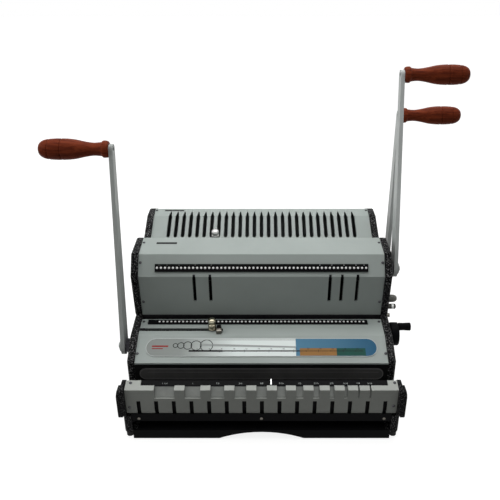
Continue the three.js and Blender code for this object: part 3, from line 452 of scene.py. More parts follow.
# Wooden grips, as shares of the radius and the length: collar, neck, two turned grooves and a round end.
GRIP_LENGTH = 0.102
GRIP_RADIUS = 0.0155
GRIP_SIDES = 56
GRIP_STEPS = 3
LEVERS = (("closer", -1), ("upper_punch", 1), ("lower_punch", 1))
grip_outline = [
    (0.0, 0.0), (0.62, 0.0), (0.76, 0.015), (0.8, 0.045), (0.8, 0.075), (0.74, 0.09), (0.665, 0.105),
    (0.625, 0.15), (0.605, 0.21), (0.65, 0.28), (0.76, 0.37), (0.89, 0.46), (0.965, 0.55), (0.99, 0.62),
    (0.99, 0.655), (0.92, 0.668), (0.99, 0.68), (0.99, 0.75), (0.965, 0.81), (0.95, 0.835), (0.87, 0.848),
    (0.93, 0.86), (0.88, 0.9), (0.76, 0.945), (0.56, 0.98), (0.3, 0.997), (0.0, 1.0),
]
for prefix, side in LEVERS:
    name = f"{prefix}_grip"
    low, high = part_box(f"{prefix}_lever_handle")
    tip_x = high[0] if side > 0 else low[0]
    start = Vector((tip_x - side * GRIP_LENGTH, (low[1] + high[1]) / 2, (low[2] + high[2]) / 2))
    outline = smooth_profile([(r * GRIP_RADIUS, t * GRIP_LENGTH) for r, t in grip_outline], GRIP_STEPS)
    mesh = finish_mesh(name, lathe_form(outline, GRIP_SIDES), GRIP_SMOOTH)
    grip = add_object(name, mesh, wood_grip, f"{prefix}_lever", toward_x(side, start))
    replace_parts(grip, f"{prefix}_lever_handle")


def turned_piece(name, profile, material, body, side, at, replaced=(), segments=48, wave=None):
    mesh = finish_mesh(name, lathe_form(profile, segments, wave), TURNED_SMOOTH)
    piece = add_object(name, mesh, material, body, toward_x(side, at))
    if replaced:
        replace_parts(piece, *replaced)


def rounded_rod(radius, start, end, edge):
    """The profile of a rod with its two rims rounded."""
    arc = [math.radians(angle) for angle in (0, 30, 60, 90)]
    first = [(radius - edge + edge * math.sin(a), start + edge - edge * math.cos(a)) for a in arc]
    last = [(radius - edge + edge * math.cos(a), end - edge + edge * math.sin(a)) for a in arc]
    return [(0.0, start), *first, *last, (0.0, end)]


def centre_of(node):
    low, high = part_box(node)
    return Vector(low), Vector(high), (Vector(low) + Vector(high)) / 2


# Hub caps of the levers: a painted washer with a domed bolt head.
CAP_RADIUS = 0.0095
CAP_THICK = 0.003
CAP_EDGE = 0.0008
BOLT_RADIUS = 0.005
BOLT_RISE = 0.0025
bolt_dome = [(1.0, 0.0), (1.0, 0.5), (0.86, 0.82), (0.5, 1.0), (0.0, 1.0)]
for prefix, side in LEVERS:
    low, high, middle = centre_of(f"{prefix}_lever_cap")
    base_x = low.x if side > 0 else high.x
    profile = rounded_rod(CAP_RADIUS, 0.0, CAP_THICK, CAP_EDGE)[:-1]
    profile += [(share * BOLT_RADIUS, CAP_THICK + rise * BOLT_RISE) for share, rise in bolt_dome]
    turned_piece(
        f"{prefix}_hub_cap", profile, paint_arm, f"{prefix}_lever", side,
        Vector((base_x, middle.y, middle.z)), (f"{prefix}_lever_cap",),
    )

# Depth knob: a ribbed barrel with a domed end, on a stem that reaches into the plate.
PIECE_GAP = 0.0005
KNOB_BASE = 0.0175
KNOB_STEM = 0.003
KNOB_SIDES = 72
KNOB_RIBS = 18
KNOB_RIB_DEPTH = 0.03
low, high, middle = centre_of("depth_knob")
KNOB_RADIUS = (high.y - low.y) / 2
knob_profile = [
    (0.0, -KNOB_BASE), (KNOB_STEM, -KNOB_BASE), (KNOB_STEM, 0.0), (KNOB_RADIUS * 0.9, 0.0),
    (KNOB_RADIUS, 0.001), (KNOB_RADIUS, 0.010), (KNOB_RADIUS * 0.96, 0.0125), (KNOB_RADIUS * 0.8, 0.0150),
    (KNOB_RADIUS * 0.5, 0.0168), (0.0, 0.0175),
]


def knob_ribs(turn, height):
    grooved = 0.0015 < height < 0.0125 and math.sin(KNOB_RIBS * turn) > 0.3
    return 1 - (KNOB_RIB_DEPTH if grooved else 0)


plate_face_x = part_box("upper_side_plate_right")[1][0] + PIECE_GAP
knob_at = Vector((plate_face_x, middle.y, middle.z))
turned_piece(
    "depth_knob_grip", [(r, min(t, high.x - plate_face_x)) for r, t in knob_profile], plastic_olive,
    "depth_knob", 1, knob_at, ("depth_knob",), KNOB_SIDES, knob_ribs,
)

# A bright band round the selector's barrel.
SELECTOR_AXIS = (0.155, 0.136)
BAND_RADIUS = 4.45 * MM
BAND_LONG = 3.6 * MM
BAND_EDGE = 0.3 * MM
BAND_FROM_END = 7.8 * MM
low, high, middle = centre_of("selector_lever")
turned_piece(
    "selector_band", rounded_rod(BAND_RADIUS, 0.0, BAND_LONG, BAND_EDGE), steel_bright, "selector_lever",
    1, spot(high.x - MID_X - BAND_FROM_END, *SELECTOR_AXIS),
)

# Size crank: a thick disc with a dished face and a fluted rim, and its turned peg.
CRANK_GAP = 0.0007
CRANK_EDGE = 0.0015
CRANK_DISH = 0.0012
CRANK_FLUTES = 30
CRANK_FLUTE_DEPTH = 0.012
low, high, middle = centre_of("size_crank")
CRANK_RADIUS = (high.y - low.y) / 2
disc_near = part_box("lower_side_plate_right")[1][0] + CRANK_GAP
disc = rounded_rod(CRANK_RADIUS, 0.0, high.x - disc_near, CRANK_EDGE)[:-1]
disc += [
    (CRANK_RADIUS * 0.42, high.x - disc_near), (CRANK_RADIUS * 0.36, high.x - disc_near - CRANK_DISH),
    (0.0, high.x - disc_near - CRANK_DISH),
]


def crank_flutes(turn, height):
    grooved = math.sin(CRANK_FLUTES * turn) > 0 and 0.002 < height < 0.010
    return 1 - (CRANK_FLUTE_DEPTH if grooved else 0)


crank_at = Vector((disc_near, middle.y, middle.z))
turned_piece(
    "crank_wheel", disc, plastic_black, "size_crank", 1, crank_at, ("size_crank",),
    KNOB_SIDES, crank_flutes,
)
PEG_GAP = 0.0003
low, high, middle = centre_of("crank_peg")
PEG_RADIUS = (high.y - low.y) / 2
peg_start = crank_at.x + (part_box("size_crank")[1][0] - disc_near) + PEG_GAP
peg_long = high.x - peg_start
peg_profile = [
    (0.0, 0.0), (PEG_RADIUS * 0.96, 0.0), (PEG_RADIUS, 0.001), (PEG_RADIUS * 0.96, peg_long * 0.4),
    (PEG_RADIUS * 1.04, peg_long * 0.88), (PEG_RADIUS * 1.04, peg_long - 0.0008),
    (PEG_RADIUS * 0.97, peg_long), (0.0, peg_long),
]
turned_piece(
    "crank_peg_grip", peg_profile, plastic_black, "size_crank", 1,
    Vector((peg_start, middle.y, middle.z)), ("crank_peg",),
)


# Thumb knobs, as shares of the radius and the height. The low one has a fluted foot, a waist and a ball
# top, and the high one two knurled bands with a groove between them.
BALL_KNOB = [
    (0.0, 0.0), (0.7, 0.0), (0.98, 0.06), (1.0, 0.1), (1.0, 0.36), (0.93, 0.43), (0.78, 0.47), (0.74, 0.51),
    (0.78, 0.56), (0.9, 0.62), (0.98, 0.7), (1.0, 0.77), (0.95, 0.86), (0.8, 0.94), (0.5, 0.985),
    (0.0, 1.0),
]
BALL_FLUTES = [(0.08, 0.38)]
BAND_KNOB = [
    (0.0, 0.0), (0.66, 0.0), (0.66, 0.17), (0.9, 0.19), (1.0, 0.23), (1.0, 0.49), (0.93, 0.52), (0.8, 0.54),
    (0.8, 0.61), (0.93, 0.63), (1.0, 0.66), (1.0, 0.76), (0.95, 0.85), (0.8, 0.93), (0.5, 0.985),
    (0.0, 1.0),
]
BAND_KNURLS = [(0.21, 0.5), (0.64, 0.78)]


def thumb_knob(name, node, material, outline, bands, teeth, depth, tall):
    """Replaces a node with a turned knob, fluted in bands. Its body has the node's name."""
    low, high, middle = centre_of(node)
    radius = (high.y - low.y) / 2

    def knurl(turn, height):
        inside = any(start < height / tall < end for start, end in bands)
        return 1 - depth * (0.5 + 0.5 * math.cos(teeth * turn)) if inside else 1

    profile = [(share * radius, rise * tall) for share, rise in outline]
    mesh = finish_mesh(name, lathe_form(profile, teeth * 4, knurl), CRISP_SMOOTH)
    at = Matrix.Translation(Vector((middle.x, middle.y, high.z - tall)))
    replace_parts(add_object(name, mesh, material, node, at), node)
    return middle, radius


ball_low, ball_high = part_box("lower_edge_knob")
BAND_KNOB_TALL = 0.020
low_knob, low_radius = thumb_knob(
    "lower_ball_knob", "lower_edge_knob", metal_brass, BALL_KNOB, BALL_FLUTES, teeth=18,
    depth=0.14, tall=ball_high[2] - ball_low[2],
)
thumb_knob(
    "upper_band_knob", "upper_edge_knob", metal_chrome, BAND_KNOB, BAND_KNURLS, teeth=36,
    depth=0.05, tall=BAND_KNOB_TALL,
)


# The clamp block beside the low knob, on the guide's shoe, with its set screw.
def box_form(size, at, edge):
    """A block with rounded edges."""
    form = bmesh.new()
    bmesh.ops.create_cube(form, size=1, matrix=Matrix.Translation(at) @ Matrix.Diagonal((*size, 1)))
    bmesh.ops.bevel(form, geom=form.edges[:], offset=edge, segments=2, profile=0.5, affect="EDGES")
    return form


BLOCK = (8.4 * MM, 11.0 * MM, 6.5 * MM)
BLOCK_SHARE = 0.24
BLOCK_GAP = 0.6 * MM
BLOCK_LIFT = 0.35 * MM
BLOCK_EDGE = 0.6 * MM
SET_SCREW_RADIUS = 1.9 * MM
SET_SCREW_LONG = 2.4 * MM
SET_SCREW_EDGE = 0.4 * MM
SET_SCREW_SINK = 0.4 * MM
SET_SCREW_SIDES = 24
block_x = low_knob.x - MID_X + low_radius + BLOCK_GAP + BLOCK[0] / 2
block_frame = face_matrix(BEND, BACK, BLOCK_SHARE, block_x, BLOCK_LIFT)
block_mesh = finish_mesh("guide_block", box_form(BLOCK, (0, 0, BLOCK[2] / 2), BLOCK_EDGE))
add_object("guide_block", block_mesh, steel_clamp, "lower_edge_guide", block_frame)
set_screw = lathe_form(rounded_rod(SET_SCREW_RADIUS, 0.0, SET_SCREW_LONG, SET_SCREW_EDGE), SET_SCREW_SIDES)
set_screw_mesh = finish_mesh("guide_set_screw", set_screw)
set_screw_at = toward_x(1, block_frame @ Vector((BLOCK[0] / 2 - SET_SCREW_SINK, 0, BLOCK[2] * 0.55)))
add_object(
    "guide_set_screw", set_screw_mesh, plastic_black, "lower_edge_guide", set_screw_at,
)


# Pan head screws with a cross recess. The arms of the cross are shares of the head's radius and rise.
SCREW_RADIUS = 2.2 * MM
SCREW_RISE = 1.3 * MM
SCREW_SINK = 0.2 * MM
SCREW_SIDES = 32
SCREW_STEPS = 4
CROSS_LONG = 1.25
CROSS_WIDE = 0.3
CROSS_TALL = 1.1


def screw_mesh(radius, rise):
    """A screw head whose recess is cut out of it."""
    crown = smooth_profile([
        (radius * 0.97, -SCREW_SINK), (radius, rise * 0.25), (radius * 0.92, rise * 0.6),
        (radius * 0.6, rise * 0.92), (0.0, rise),
    ], SCREW_STEPS)
    head_form = lathe_form([(0.0, -SCREW_SINK), *crown], SCREW_SIDES)
    head = bpy.data.objects.new("screw_head", finish_mesh("screw_head", head_form))
    cutter_form = bmesh.new()
    for length, width in ((CROSS_LONG, CROSS_WIDE), (CROSS_WIDE, CROSS_LONG)):
        arm = Matrix.Diagonal((length * radius, width * radius, rise * CROSS_TALL, 1))
        bmesh.ops.create_cube(cutter_form, size=1, matrix=Matrix.Translation((0, 0, rise)) @ arm)
    cutter = bpy.data.objects.new("screw_cutter", finish_mesh("screw_cutter", cutter_form))
    for item in (head, cutter):
        bpy.context.scene.collection.objects.link(item)
    carve = head.modifiers.new("carve", "BOOLEAN")
    carve.operation = "DIFFERENCE"
    carve.use_self = True
    carve.object = cutter
    bpy.context.view_layer.update()
    carved = bpy.data.meshes.new_from_object(head.evaluated_get(bpy.context.evaluated_depsgraph_get()))
    for item in (head, cutter):
        bpy.data.objects.remove(item)
    return carved


def gather(name, mesh, matrices, material, body):
    """One piece from copies of a mesh at several places."""
    form = bmesh.new()
    for matrix in matrices:
        part = bmesh.new()
        part.from_mesh(mesh)
        part.transform(matrix)
        moved = bpy.data.meshes.new("moved")
        part.to_mesh(moved)
        part.free()
        form.from_mesh(moved)
        bpy.data.meshes.remove(moved)
    add_object(name, finish_mesh(name, form, TURNED_SMOOTH), material, body)


def upright(x, y, z):
    """A frame on an upright face that looks forward."""
    return Matrix.Translation(spot(x, y, z)) @ Matrix.Rotation(math.pi / 2, 4, "X")


# The cover screws stand in two columns. Each row is the two profile places of its face, its share of the
# way between them, and how far out it stands as a share of the columns' distance.
COVER_SCREW_X = 0.190
cover_screw_rows = [
    (UPPER_BEND, UPPER_BACK, 0.69, 1.0), (NOSE, UPPER_BEND, 0.63, 1.0), (UPPER_FOOT, NOSE, 0.35, 0.995),
    (BEND, BACK, 0.84, 0.995), (LIP, BEND, 0.345, 1.003), (OPENER_BEND, OPENER_CROWN, 0.75, 1.0),
]
CLOSER_TOP_SCREWS = (-0.1917, 0.1949)
CLOSER_TOP_SHARE = 0.5
CLOSER_FRONT_SCREWS = ((-0.1936, 0.0573), (0.1935, 0.0600))
RAIL_SCREWS = (-0.182, 0.0, 0.182)
RAIL_SCREW_Z = 0.0358
RAIL_FACE_Y = 0.0002
TURNS = [0.3, 1.1, 0.7, 1.9, 0.1, 1.4, 0.9, 0.5, 1.7, 1.2, 0.2, 0.8, 1.5, 0.4, 1.0, 0.6, 1.8]
screw_frames = []
for x in (-COVER_SCREW_X, COVER_SCREW_X):
    for low_place, high_place, share, outward in cover_screw_rows:
        screw_frames.append(face_matrix(low_place, high_place, share, x * outward))
for x in CLOSER_TOP_SCREWS:
    screw_frames.append(face_matrix(CLOSER_CROWN, CLOSER_TAB, CLOSER_TOP_SHARE, x))
for x, z in CLOSER_FRONT_SCREWS:
    screw_frames.append(upright(x, 0, z))
rail_frames = [upright(x, RAIL_FACE_Y, RAIL_SCREW_Z) for x in RAIL_SCREWS]


def turned(frames):
    """Turns each screw by its own angle, in radians."""
    return [matrix @ Matrix.Rotation(TURNS[i % len(TURNS)], 4, "Z") for i, matrix in enumerate(frames)]


screw = screw_mesh(SCREW_RADIUS, SCREW_RISE)
gather("cover_screws", screw, turned(screw_frames), steel_screw, "frame")
gather("rail_screws", screw, turned(rail_frames), steel_clamp, "frame")


# Pin strips: a black strip with a row of domed pull pins.
PIN_PITCH = 6.2865 * MM
PIN_COUNT = 53
PIN_MIDDLE = (PIN_COUNT - 1) / 2
PIN_SIDES = 16
PIN_STEPS = 3
PIN_SMOOTH = 50
PIN_SINK = 0.1 * MM
STRIP_THICK = 1.7 * MM
STRIP_LIFT = 0.3 * MM
STRIP_EDGE = 0.3 * MM


def pin_strip(prefix, low_place, high_place, share, depth, head):
    """Replaces a strip of the record with a dressed one. "head" is the radius of its pins."""
    node = f"{prefix}_pin_strip"
    base = face_matrix(low_place, high_place, share, 0.0, STRIP_LIFT)
    strip_low, strip_high, middle = centre_of(node)
    size = (strip_high.x - strip_low.x, depth, STRIP_THICK)
    form = box_form(size, (middle.x - MID_X, 0, STRIP_THICK / 2), STRIP_EDGE)
    mesh = finish_mesh(f"{prefix}_strip", form)
    strip = add_object(f"{prefix}_strip", mesh, paint_black, "frame", base)
    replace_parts(strip, node)
    button = smooth_profile([
        (head, 0.0), (head, 0.25 * MM), (head * 0.85, 0.6 * MM), (head * 0.45, 0.85 * MM), (0.0, 0.9 * MM),
    ], PIN_STEPS)
    pin_form = lathe_form([(0.0, -PIN_SINK), (head, -PIN_SINK), *button], PIN_SIDES)
    pin = finish_mesh("pin", pin_form, PIN_SMOOTH)
    columns = [(i - PIN_MIDDLE) * PIN_PITCH for i in range(PIN_COUNT)]
    places = [base @ Matrix.Translation((x, 0, STRIP_THICK)) for x in columns]
    gather(f"{prefix}_pins", pin, places, pin_sheen_white, "frame")
    return base


upper_strip_frame = pin_strip("upper", NOSE, UPPER_BEND, 0.39, depth=12.4 * MM, head=1.75 * MM)
lower_strip_frame = pin_strip("lower", BEND, BACK, 0.79, depth=9.8 * MM, head=1.7 * MM)


# Printing.
INK_RISE = 0.06 * MM


def flat_piece(name, outlines, material, matrix, thick=INK_RISE, body="frame"):
    """Thin shapes from lists of (x, y) places in the plane of a frame."""
    form = bmesh.new()
    for outline in outlines:
        bottom = [form.verts.new((x, y, 0)) for x, y in outline]
        top = [form.verts.new((x, y, thick)) for x, y in outline]
        count = len(outline)
        form.faces.new(top)
        form.faces.new(bottom[::-1])
        for i in range(count):
            k = (i + 1) % count
            form.faces.new((bottom[i], bottom[k], top[k], top[i]))
    return add_object(name, finish_mesh(name, form, CRISP_SMOOTH), material, body, matrix)


def bar(x0, x1, y0, y1):
    """The outline of a rectangle."""
    return [(x0, y0), (x1, y0), (x1, y1), (x0, y1)]


def number_mesh(text, size):
    """A printed number, turned into a mesh."""
    curve = bpy.data.curves.new("number", "FONT")
    curve.body = text
    curve.size = size
    curve.align_x = "CENTER"
    curve.align_y = "CENTER"
    curve.extrude = INK_RISE / 2
    curve.resolution_u = 3
    holder = bpy.data.objects.new("number", curve)
    bpy.context.scene.collection.objects.link(holder)
    bpy.context.view_layer.update()
    mesh = bpy.data.meshes.new_from_object(holder.evaluated_get(bpy.context.evaluated_depsgraph_get()))
    bpy.data.objects.remove(holder)
    mesh.materials.clear()
    return mesh


def number_row(name, items, size, material, base):
    """One piece from several printed numbers, given as (text, x, y) in the plane of a frame."""
    form = bmesh.new()
    for text, x, y in items:
        mesh = number_mesh(text, size)
        mesh.transform(Matrix.Translation((x, y, INK_RISE / 2)))
        form.from_mesh(mesh)
        bpy.data.meshes.remove(mesh)
    add_object(name, finish_mesh(name, form, CRISP_SMOOTH), material, "frame", base)


# Chart plate: an obround plate whose print is cut into zones.
PLATE_LONG = 0.357
PLATE_DEEP = 0.031
PLATE_THICK = 0.8 * MM
PLATE_SHARE = 0.56
PLATE_LIFT = 0.3 * MM
PLATE_STEPS = 32
SAME_PLACE = 0.02 * MM
END_RADIUS = PLATE_DEEP / 2
plate_frame = face_matrix(LIP, BEND, PLATE_SHARE, 0.0, PLATE_LIFT)


def zone(x0, x1, y0, y1, inset, steps=20):
    """The part of a rectangle that lies on the obround plate, inside its rim."""
    radius = END_RADIUS - inset
    reach = PLATE_LONG / 2 - END_RADIUS

    def limit(y):
        return reach + math.sqrt(max(radius * radius - y * y, 0.0))

    y0, y1 = max(y0, -radius), min(y1, radius)
    levels = [y0 + (y1 - y0) * i / steps for i in range(steps + 1)]
    right_side = [(min(x1, limit(y)), y) for y in levels]
    left_side = [(max(x0, -limit(y)), y) for y in levels]
    points = right_side + left_side[::-1]
    clean = [points[0]]
    for point in points[1:]:
        if math.dist(point, clean[-1]) > SAME_PLACE:
            clean.append(point)
    if math.dist(clean[0], clean[-1]) < SAME_PLACE:
        clean.pop()
    return clean


plate_outline = zone(-PLATE_LONG, PLATE_LONG, -END_RADIUS, END_RADIUS, 0.0, PLATE_STEPS)
plate = flat_piece("chart_base", [plate_outline], ink_pale, plate_frame, PLATE_THICK)
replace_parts(plate, "chart_plate")
print_frame = plate_frame @ Matrix.Translation((0, 0, PLATE_THICK))
BLUE_START = 0.053
BAND_TOP = -0.0015
BAND_LOW = -0.0142
ORANGE = (0.0590, 0.1155)
GREEN = (0.1155, 0.160)
RIM = 0.9 * MM
flat_piece("chart_white", [
    zone(-PLATE_LONG, BLUE_START, -END_RADIUS, END_RADIUS, RIM),
], ink_white, print_frame)
flat_piece("chart_blue", [
    zone(BLUE_START, PLATE_LONG, BAND_TOP, END_RADIUS, RIM),
    zone(GREEN[1], PLATE_LONG, -END_RADIUS, BAND_TOP, RIM),
    zone(BLUE_START, GREEN[1], -END_RADIUS, BAND_LOW, RIM),
    zone(BLUE_START, ORANGE[0], BAND_LOW, BAND_TOP, RIM),
], ink_blue, print_frame)
flat_piece("chart_orange", [bar(*ORANGE, BAND_LOW, BAND_TOP)], ink_orange, print_frame)
flat_piece("chart_green", [bar(*GREEN, BAND_LOW, BAND_TOP)], ink_green, print_frame)

# Its scale: a line in three widths with ticks and plain numbers, and a wedge that narrows to the right.
LINE_Y = -0.0062
LINE_START = -0.112
LINE_STEP = -0.06
LINE_END = GREEN[1] - 0.004
LINE_HALVES = (1.5 * MM, 1.0 * MM, 0.45 * MM)
TICK_PITCH = 0.0190
TICK_COUNT = 14
TICK_HALF = 0.25 * MM
TICK_LONG = 0.0024
TICK_SHORT = 0.0015
LABEL_SHIFT = (0.0032, 0.0036)
LABEL_SIZE = 3.4 * MM
WEDGE_START = -0.095
upper_frame = print_frame @ Matrix.Translation((0, 0, INK_RISE))
line_ends = [(LINE_START, LINE_STEP), (LINE_STEP, ORANGE[0]), (ORANGE[0], LINE_END)]
lines = [bar(*ends, LINE_Y - half, LINE_Y + half) for ends, half in zip(line_ends, LINE_HALVES)]
ticks = []
labels = []
for i in range(TICK_COUNT):
    x = LINE_START + (i + 0.5) * TICK_PITCH
    reach = TICK_LONG if i % 2 == 0 else TICK_SHORT
    ticks.append(bar(x - TICK_HALF, x + TICK_HALF, LINE_Y - reach, LINE_Y + reach))
    labels.append((str(4 + 2 * i), x + LABEL_SHIFT[0], LINE_Y + LABEL_SHIFT[1]))
flat_piece("chart_scale", lines + ticks, ink_black, upper_frame)
number_row("chart_numbers", labels, LABEL_SIZE, ink_black, upper_frame)
flat_piece("chart_wedge", [
    [(WEDGE_START, 0.0062), (BLUE_START, 0.0016), (BLUE_START, -0.0010), (WEDGE_START, 0.0022)],
    bar(-0.088, BLUE_START, 0.0122, 0.0132),
], ink_band, upper_frame)

# A row of rings, each larger than the one before, and two short rules.
RING_SIDES = 28
RING_WIDTH = 1.1 * MM
RING_Y = 0.0030


def ring_outlines(x, y, radius, width):
    """A ring as a loop of four-sided pieces."""
    pieces = []
    inner, outer = radius - width / 2, radius + width / 2
    for i in range(RING_SIDES):
        start = 2 * math.pi * i / RING_SIDES
        end = 2 * math.pi * (i + 1) / RING_SIDES
        corners = [(inner, start), (outer, start), (outer, end), (inner, end)]
        pieces.append([(x + reach * math.cos(turn), y + reach * math.sin(turn)) for reach, turn in corners])
    return pieces


ring_places = [
    (-0.1330, 0.0034), (-0.1245, 0.0049), (-0.1140, 0.0064), (-0.1010, 0.0080), (-0.0850, 0.0096),
]
rings = []
for x, radius in ring_places:
    rings += ring_outlines(x, RING_Y, radius, RING_WIDTH)
flat_piece("chart_rings", rings, ink_black, upper_frame)
flat_piece("chart_rule", [
    bar(-0.169, -0.144, 0.0006, 0.0030), bar(-0.169, -0.152, -0.0030, -0.0016),
], ink_red, upper_frame)

# Sizes printed on the strip, each over the middle of its gauge notch. The notches' widths are in mm.
NOTCH_WIDTHS = [29.8, 23.3, 20.2, 17.3, 15.4, 13, 11, 9, 6.9, 5, 2.4, 2.4]
NOTCH_LAND = 14.6 * MM
FIRST_NOTCH = 42.4 * MM
SIZE_TEXT_Y = -0.0058
SIZE_TEXT = 4.0 * MM
size_texts = ["1 1/4", "1", "7/8", "3/4", "5/8", "9/16", "1/2", "7/16", "3/8", "5/16", "1/4", "3/16"]
strip_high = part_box("size_strip")[1]
slope = math.atan2(CLOSER_CROWN[1] - CLOSER_CREST[1], CLOSER_CROWN[0] - CLOSER_CREST[0])
strip_top = Vector((MID_X, strip_high[1], strip_high[2]))
size_frame = Matrix.Translation(strip_top) @ Matrix.Rotation(slope, 4, "X")
notch_start = closer_low[0] - MID_X + FIRST_NOTCH
size_items = []
for width, text in zip(NOTCH_WIDTHS, size_texts):
    size_items.append((text, notch_start + width * MM / 2, SIZE_TEXT_Y))
    notch_start += width * MM + NOTCH_LAND
number_row("size_numbers", size_items, SIZE_TEXT, ink_band, size_frame)

# The end of the guide's slot runs out under the side plate, and a black bar over it there is painted shade.
SLOT_SHARE = 0.364
SLOT_HALF = 2.65 * MM
GUIDE_SLOT = (-0.1928, -0.0680)
SLOT_SHADE_END = -0.1850
slot_frame = face_matrix(BEND, BACK, SLOT_SHARE, 0.0)
end_shade = bar(GUIDE_SLOT[0], SLOT_SHADE_END, -SLOT_HALF, SLOT_HALF)
flat_piece("slot_end_shade", [end_shade], ink_black, slot_frame)

# Painted highlights on the pad of the closing bar: a pale line round its rim and one along the fold of its
# top edge.
PAD_HALF = 0.187
PAD_RADIUS = 10.5 * MM
PAD_FRONT_Y = 0.0515
PAD_Z = 0.078
HIGHLIGHT_NEAR = 0.7 * MM
HIGHLIGHT_FAR = 1.6 * MM
LOOP_STEPS = 10
pad_frame = upright(0, PAD_FRONT_Y, PAD_Z)


def obround_loop(half, radius):
    """Places round an obround that is "half" long each way from its middle."""
    reach = half - radius
    loop = []
    for side in (1, -1):
        for i in range(LOOP_STEPS + 1):
            turn = side * math.pi / 2 * (2 * i / LOOP_STEPS - 1)
            loop.append((side * (reach + radius * math.cos(turn)), radius * math.sin(turn)))
    return loop


highlight_outer = obround_loop(PAD_HALF - HIGHLIGHT_NEAR, PAD_RADIUS - HIGHLIGHT_NEAR)
highlight_inner = obround_loop(PAD_HALF - HIGHLIGHT_FAR, PAD_RADIUS - HIGHLIGHT_FAR)
highlight_shapes = []
for i in range(len(highlight_outer)):
    k = (i + 1) % len(highlight_outer)
    highlight_shapes.append([highlight_inner[i], highlight_outer[i], highlight_outer[k], highlight_inner[k]])
highlight_shapes.append(bar(-PAD_HALF * 0.93, PAD_HALF * 0.96, 3.2 * MM, 3.8 * MM))
flat_piece("pad_edge_highlight", highlight_shapes, paint_pad_highlight, pad_frame, body="closing_bar")

# Painted shade round the slots of the covers: black bands along their edges.
SLOT_SHADE_WIDTH = 0.5 * MM


def shade_slots(name, columns, width, y0, y1, matrix, square=True):
    """Painted shade: black bands down both sides of each slot in a row, and across its low end where that is
    square.
    """
    shapes = []
    for x in columns:
        for side in (-1, 1):
            near, far = sorted((x + side * width / 2, x + side * (width / 2 + SLOT_SHADE_WIDTH)))
            shapes.append(bar(near, far, y0, y1))
        if square:
            shapes.append(bar(x - width / 2, x + width / 2, y0 - SLOT_SHADE_WIDTH, y0))
    flat_piece(name, shapes, ink_black, matrix)


COVER_SLOTS = [-0.106, -0.0808, 0.1079, 0.1266, 0.151]
COVER_SLOT_WIDTH = 4.1 * MM
COVER_SLOT_RUN = (0.027, 0.0716)
upper_front = face_matrix(UPPER_FOOT, NOSE, 0.0, 0.0)
shade_slots("upper_slot_shade", COVER_SLOTS, COVER_SLOT_WIDTH, *COVER_SLOT_RUN, upper_front)
REAR_SLOT_COUNT = 27
REAR_SLOT_WIDTH = 5.6 * MM
REAR_SLOT_RUN = (0.0484, 0.0942)
REAR_SLOTS = [(i - (REAR_SLOT_COUNT - 1) / 2) * 2 * PIN_PITCH for i in range(REAR_SLOT_COUNT)]
rear_frame = face_matrix(OPENER_FRONT, OPENER_BEND, 0.0, 0.0)
shade_slots("rear_slot_shade", REAR_SLOTS, REAR_SLOT_WIDTH, *REAR_SLOT_RUN, rear_frame, square=False)
# Painted shade along both edges of the guide's slot.
flat_piece("lower_slot_shade", [
    bar(*GUIDE_SLOT, SLOT_HALF, SLOT_HALF + SLOT_SHADE_WIDTH), bar(*GUIDE_SLOT, -SLOT_HALF - SLOT_SHADE_WIDTH, -SLOT_HALF),
], ink_black, slot_frame)

# Dark label bars on the two upper covers, and short marks beside some of the pull pins.
label_rear = face_matrix(OPENER_BEND, OPENER_CROWN, 0.74, -0.158)
label_upper = face_matrix(UPPER_BEND, UPPER_BACK, 0.66, -0.153)
flat_piece("rear_label", [bar(-0.0175, 0.0175, -0.0021, 0.0021)], ink_black, label_rear)
flat_piece("upper_label", [bar(-0.0165, 0.0165, -0.0027, 0.0027)], ink_black, label_upper)
MARKED_GAPS = (0, 2, 5, 9, 13, 40, 43, 46, 49, 51)
MARK_HALF = (0.9 * MM, 0.25 * MM)
for prefix, base, reach in (("upper", upper_strip_frame, 4.6 * MM), ("lower", lower_strip_frame, 3.6 * MM)):
    marks = []
    for i in MARKED_GAPS:
        x = (i - PIN_MIDDLE + 0.5) * PIN_PITCH
        marks.append(bar(x - MARK_HALF[0], x + MARK_HALF[0], reach - MARK_HALF[1], reach + MARK_HALF[1]))
    mark_frame = base @ Matrix.Translation((0, 0, STRIP_THICK))
    flat_piece(f"{prefix}_strip_marks", marks, ink_white, mark_frame)


# Floor, light and camera.
def seen_directly(tree):
    """1 for the rays that see a surface, also mirrored or through glass, and 0 for those that it lights."""
    path = tree.nodes.new("ShaderNodeLightPath")
    most = path.outputs["Is Camera Ray"]
    for kind in ("Is Glossy Ray", "Is Transmission Ray"):
        either = tree.nodes.new("ShaderNodeMath")
        either.operation = "MAXIMUM"
        tree.links.new(most, either.inputs[0])
        tree.links.new(path.outputs[kind], either.inputs[1])
        most = either.outputs[0]
    return most


def show_instead(tree, surface, shown, output):
    """Shows "shown" to the rays that see a surface directly, and keeps "surface" for all the others."""
    mix = tree.nodes.new("ShaderNodeMixShader")
    tree.links.new(seen_directly(tree), mix.inputs[0])
    tree.links.new(surface, mix.inputs[1])
    tree.links.new(shown, mix.inputs[2])
    tree.links.new(mix.outputs[0], tree.nodes[output].inputs["Surface"])


# The floor shows its own light with a plain white added, so that it ends white and keeps a faint shadow.
FLOOR_LIFT = 0.86
FLOOR_SIZE = 14
FLOOR_COLOR = (0.27, 0.27, 0.265)
SKY_STRENGTH = 0.165
WHITE = (1, 1, 1, 1)
bpy.ops.mesh.primitive_plane_add(size=FLOOR_SIZE, location=(0, 0, 0))
floor = bpy.context.object
floor.name = "floor"
floor_material, floor_tree, floor_main = shader("floor_pale", FLOOR_COLOR, 0.6)
lift = floor_tree.nodes.new("ShaderNodeEmission")
lift.inputs["Strength"].default_value = FLOOR_LIFT
lifted = floor_tree.nodes.new("ShaderNodeAddShader")
floor_tree.links.new(floor_main.outputs[0], lifted.inputs[0])
floor_tree.links.new(lift.outputs[0], lifted.inputs[1])
show_instead(floor_tree, floor_main.outputs[0], lifted.outputs[0], "Material Output")
floor.data.materials.append(floor_material)

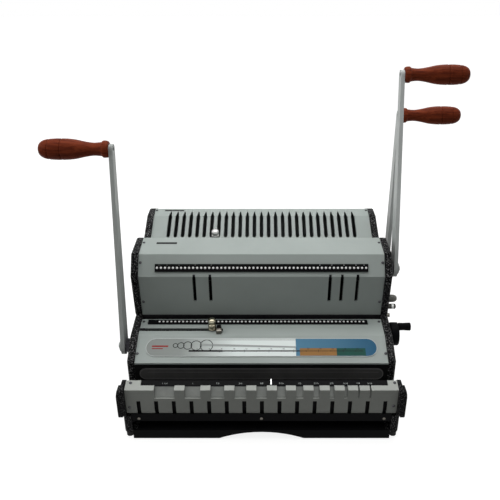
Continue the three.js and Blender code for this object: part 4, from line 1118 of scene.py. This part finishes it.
world = bpy.data.worlds.new("studio")
bpy.context.scene.world = world
world.use_nodes = True
sky = world.node_tree.nodes["Background"]
sky.inputs["Color"].default_value = WHITE
sky.inputs["Strength"].default_value = SKY_STRENGTH
white_sky = world.node_tree.nodes.new("ShaderNodeBackground")
white_sky.inputs["Color"].default_value = WHITE
show_instead(world.node_tree, sky.outputs[0], white_sky.outputs[0], "World Output")


def area_light(name, at, aim, width, depth, power):
    """A rectangular lamp that looks at a place, in watts."""
    data = bpy.data.lights.new(name, "AREA")
    data.shape = "RECTANGLE"
    data.size = width
    data.size_y = depth
    data.energy = power
    lamp = bpy.data.objects.new(name, data)
    lamp.location = at
    lamp.rotation_euler = (Vector(aim) - Vector(at)).to_track_quat("-Z", "Y").to_euler()
    bpy.context.scene.collection.objects.link(lamp)


area_light("key_over", (0.0, 0.1, 1.9), (0, 0, 0.15), width=1.8, depth=1.2, power=19)
area_light("back_over", (0.15, 0.9, 1.7), (0, 0, 0.15), width=1.8, depth=1.0, power=9.5)
area_light("side_right", (1.6, -0.2, 1.2), (0, 0, 0.15), width=1.2, depth=1.0, power=2)
area_light("side_left", (-1.6, -0.3, 1.2), (0, 0, 0.2), width=1.2, depth=1.0, power=9)

CAMERA_PLACE = (0, -0.6875, 0.6499)
CAMERA_PITCH = math.radians(26)
FOCAL_PIXELS = 597
IMAGE_PIXELS = 500
SENSOR = 36
MIDDLE_PIXEL = 261.5
camera_data = bpy.data.cameras.new("camera")
camera_data.sensor_width = SENSOR
camera_data.lens = SENSOR * FOCAL_PIXELS / IMAGE_PIXELS
camera_data.shift_x = (IMAGE_PIXELS / 2 - MIDDLE_PIXEL) / IMAGE_PIXELS
camera_data.clip_end = 50
camera = bpy.data.objects.new("camera", camera_data)
camera.location = spot(*CAMERA_PLACE)
camera.rotation_euler = (math.pi / 2 - CAMERA_PITCH, 0, 0)
bpy.context.scene.collection.objects.link(camera)
bpy.context.scene.camera = camera
bpy.context.scene.view_settings.view_transform = "Standard"
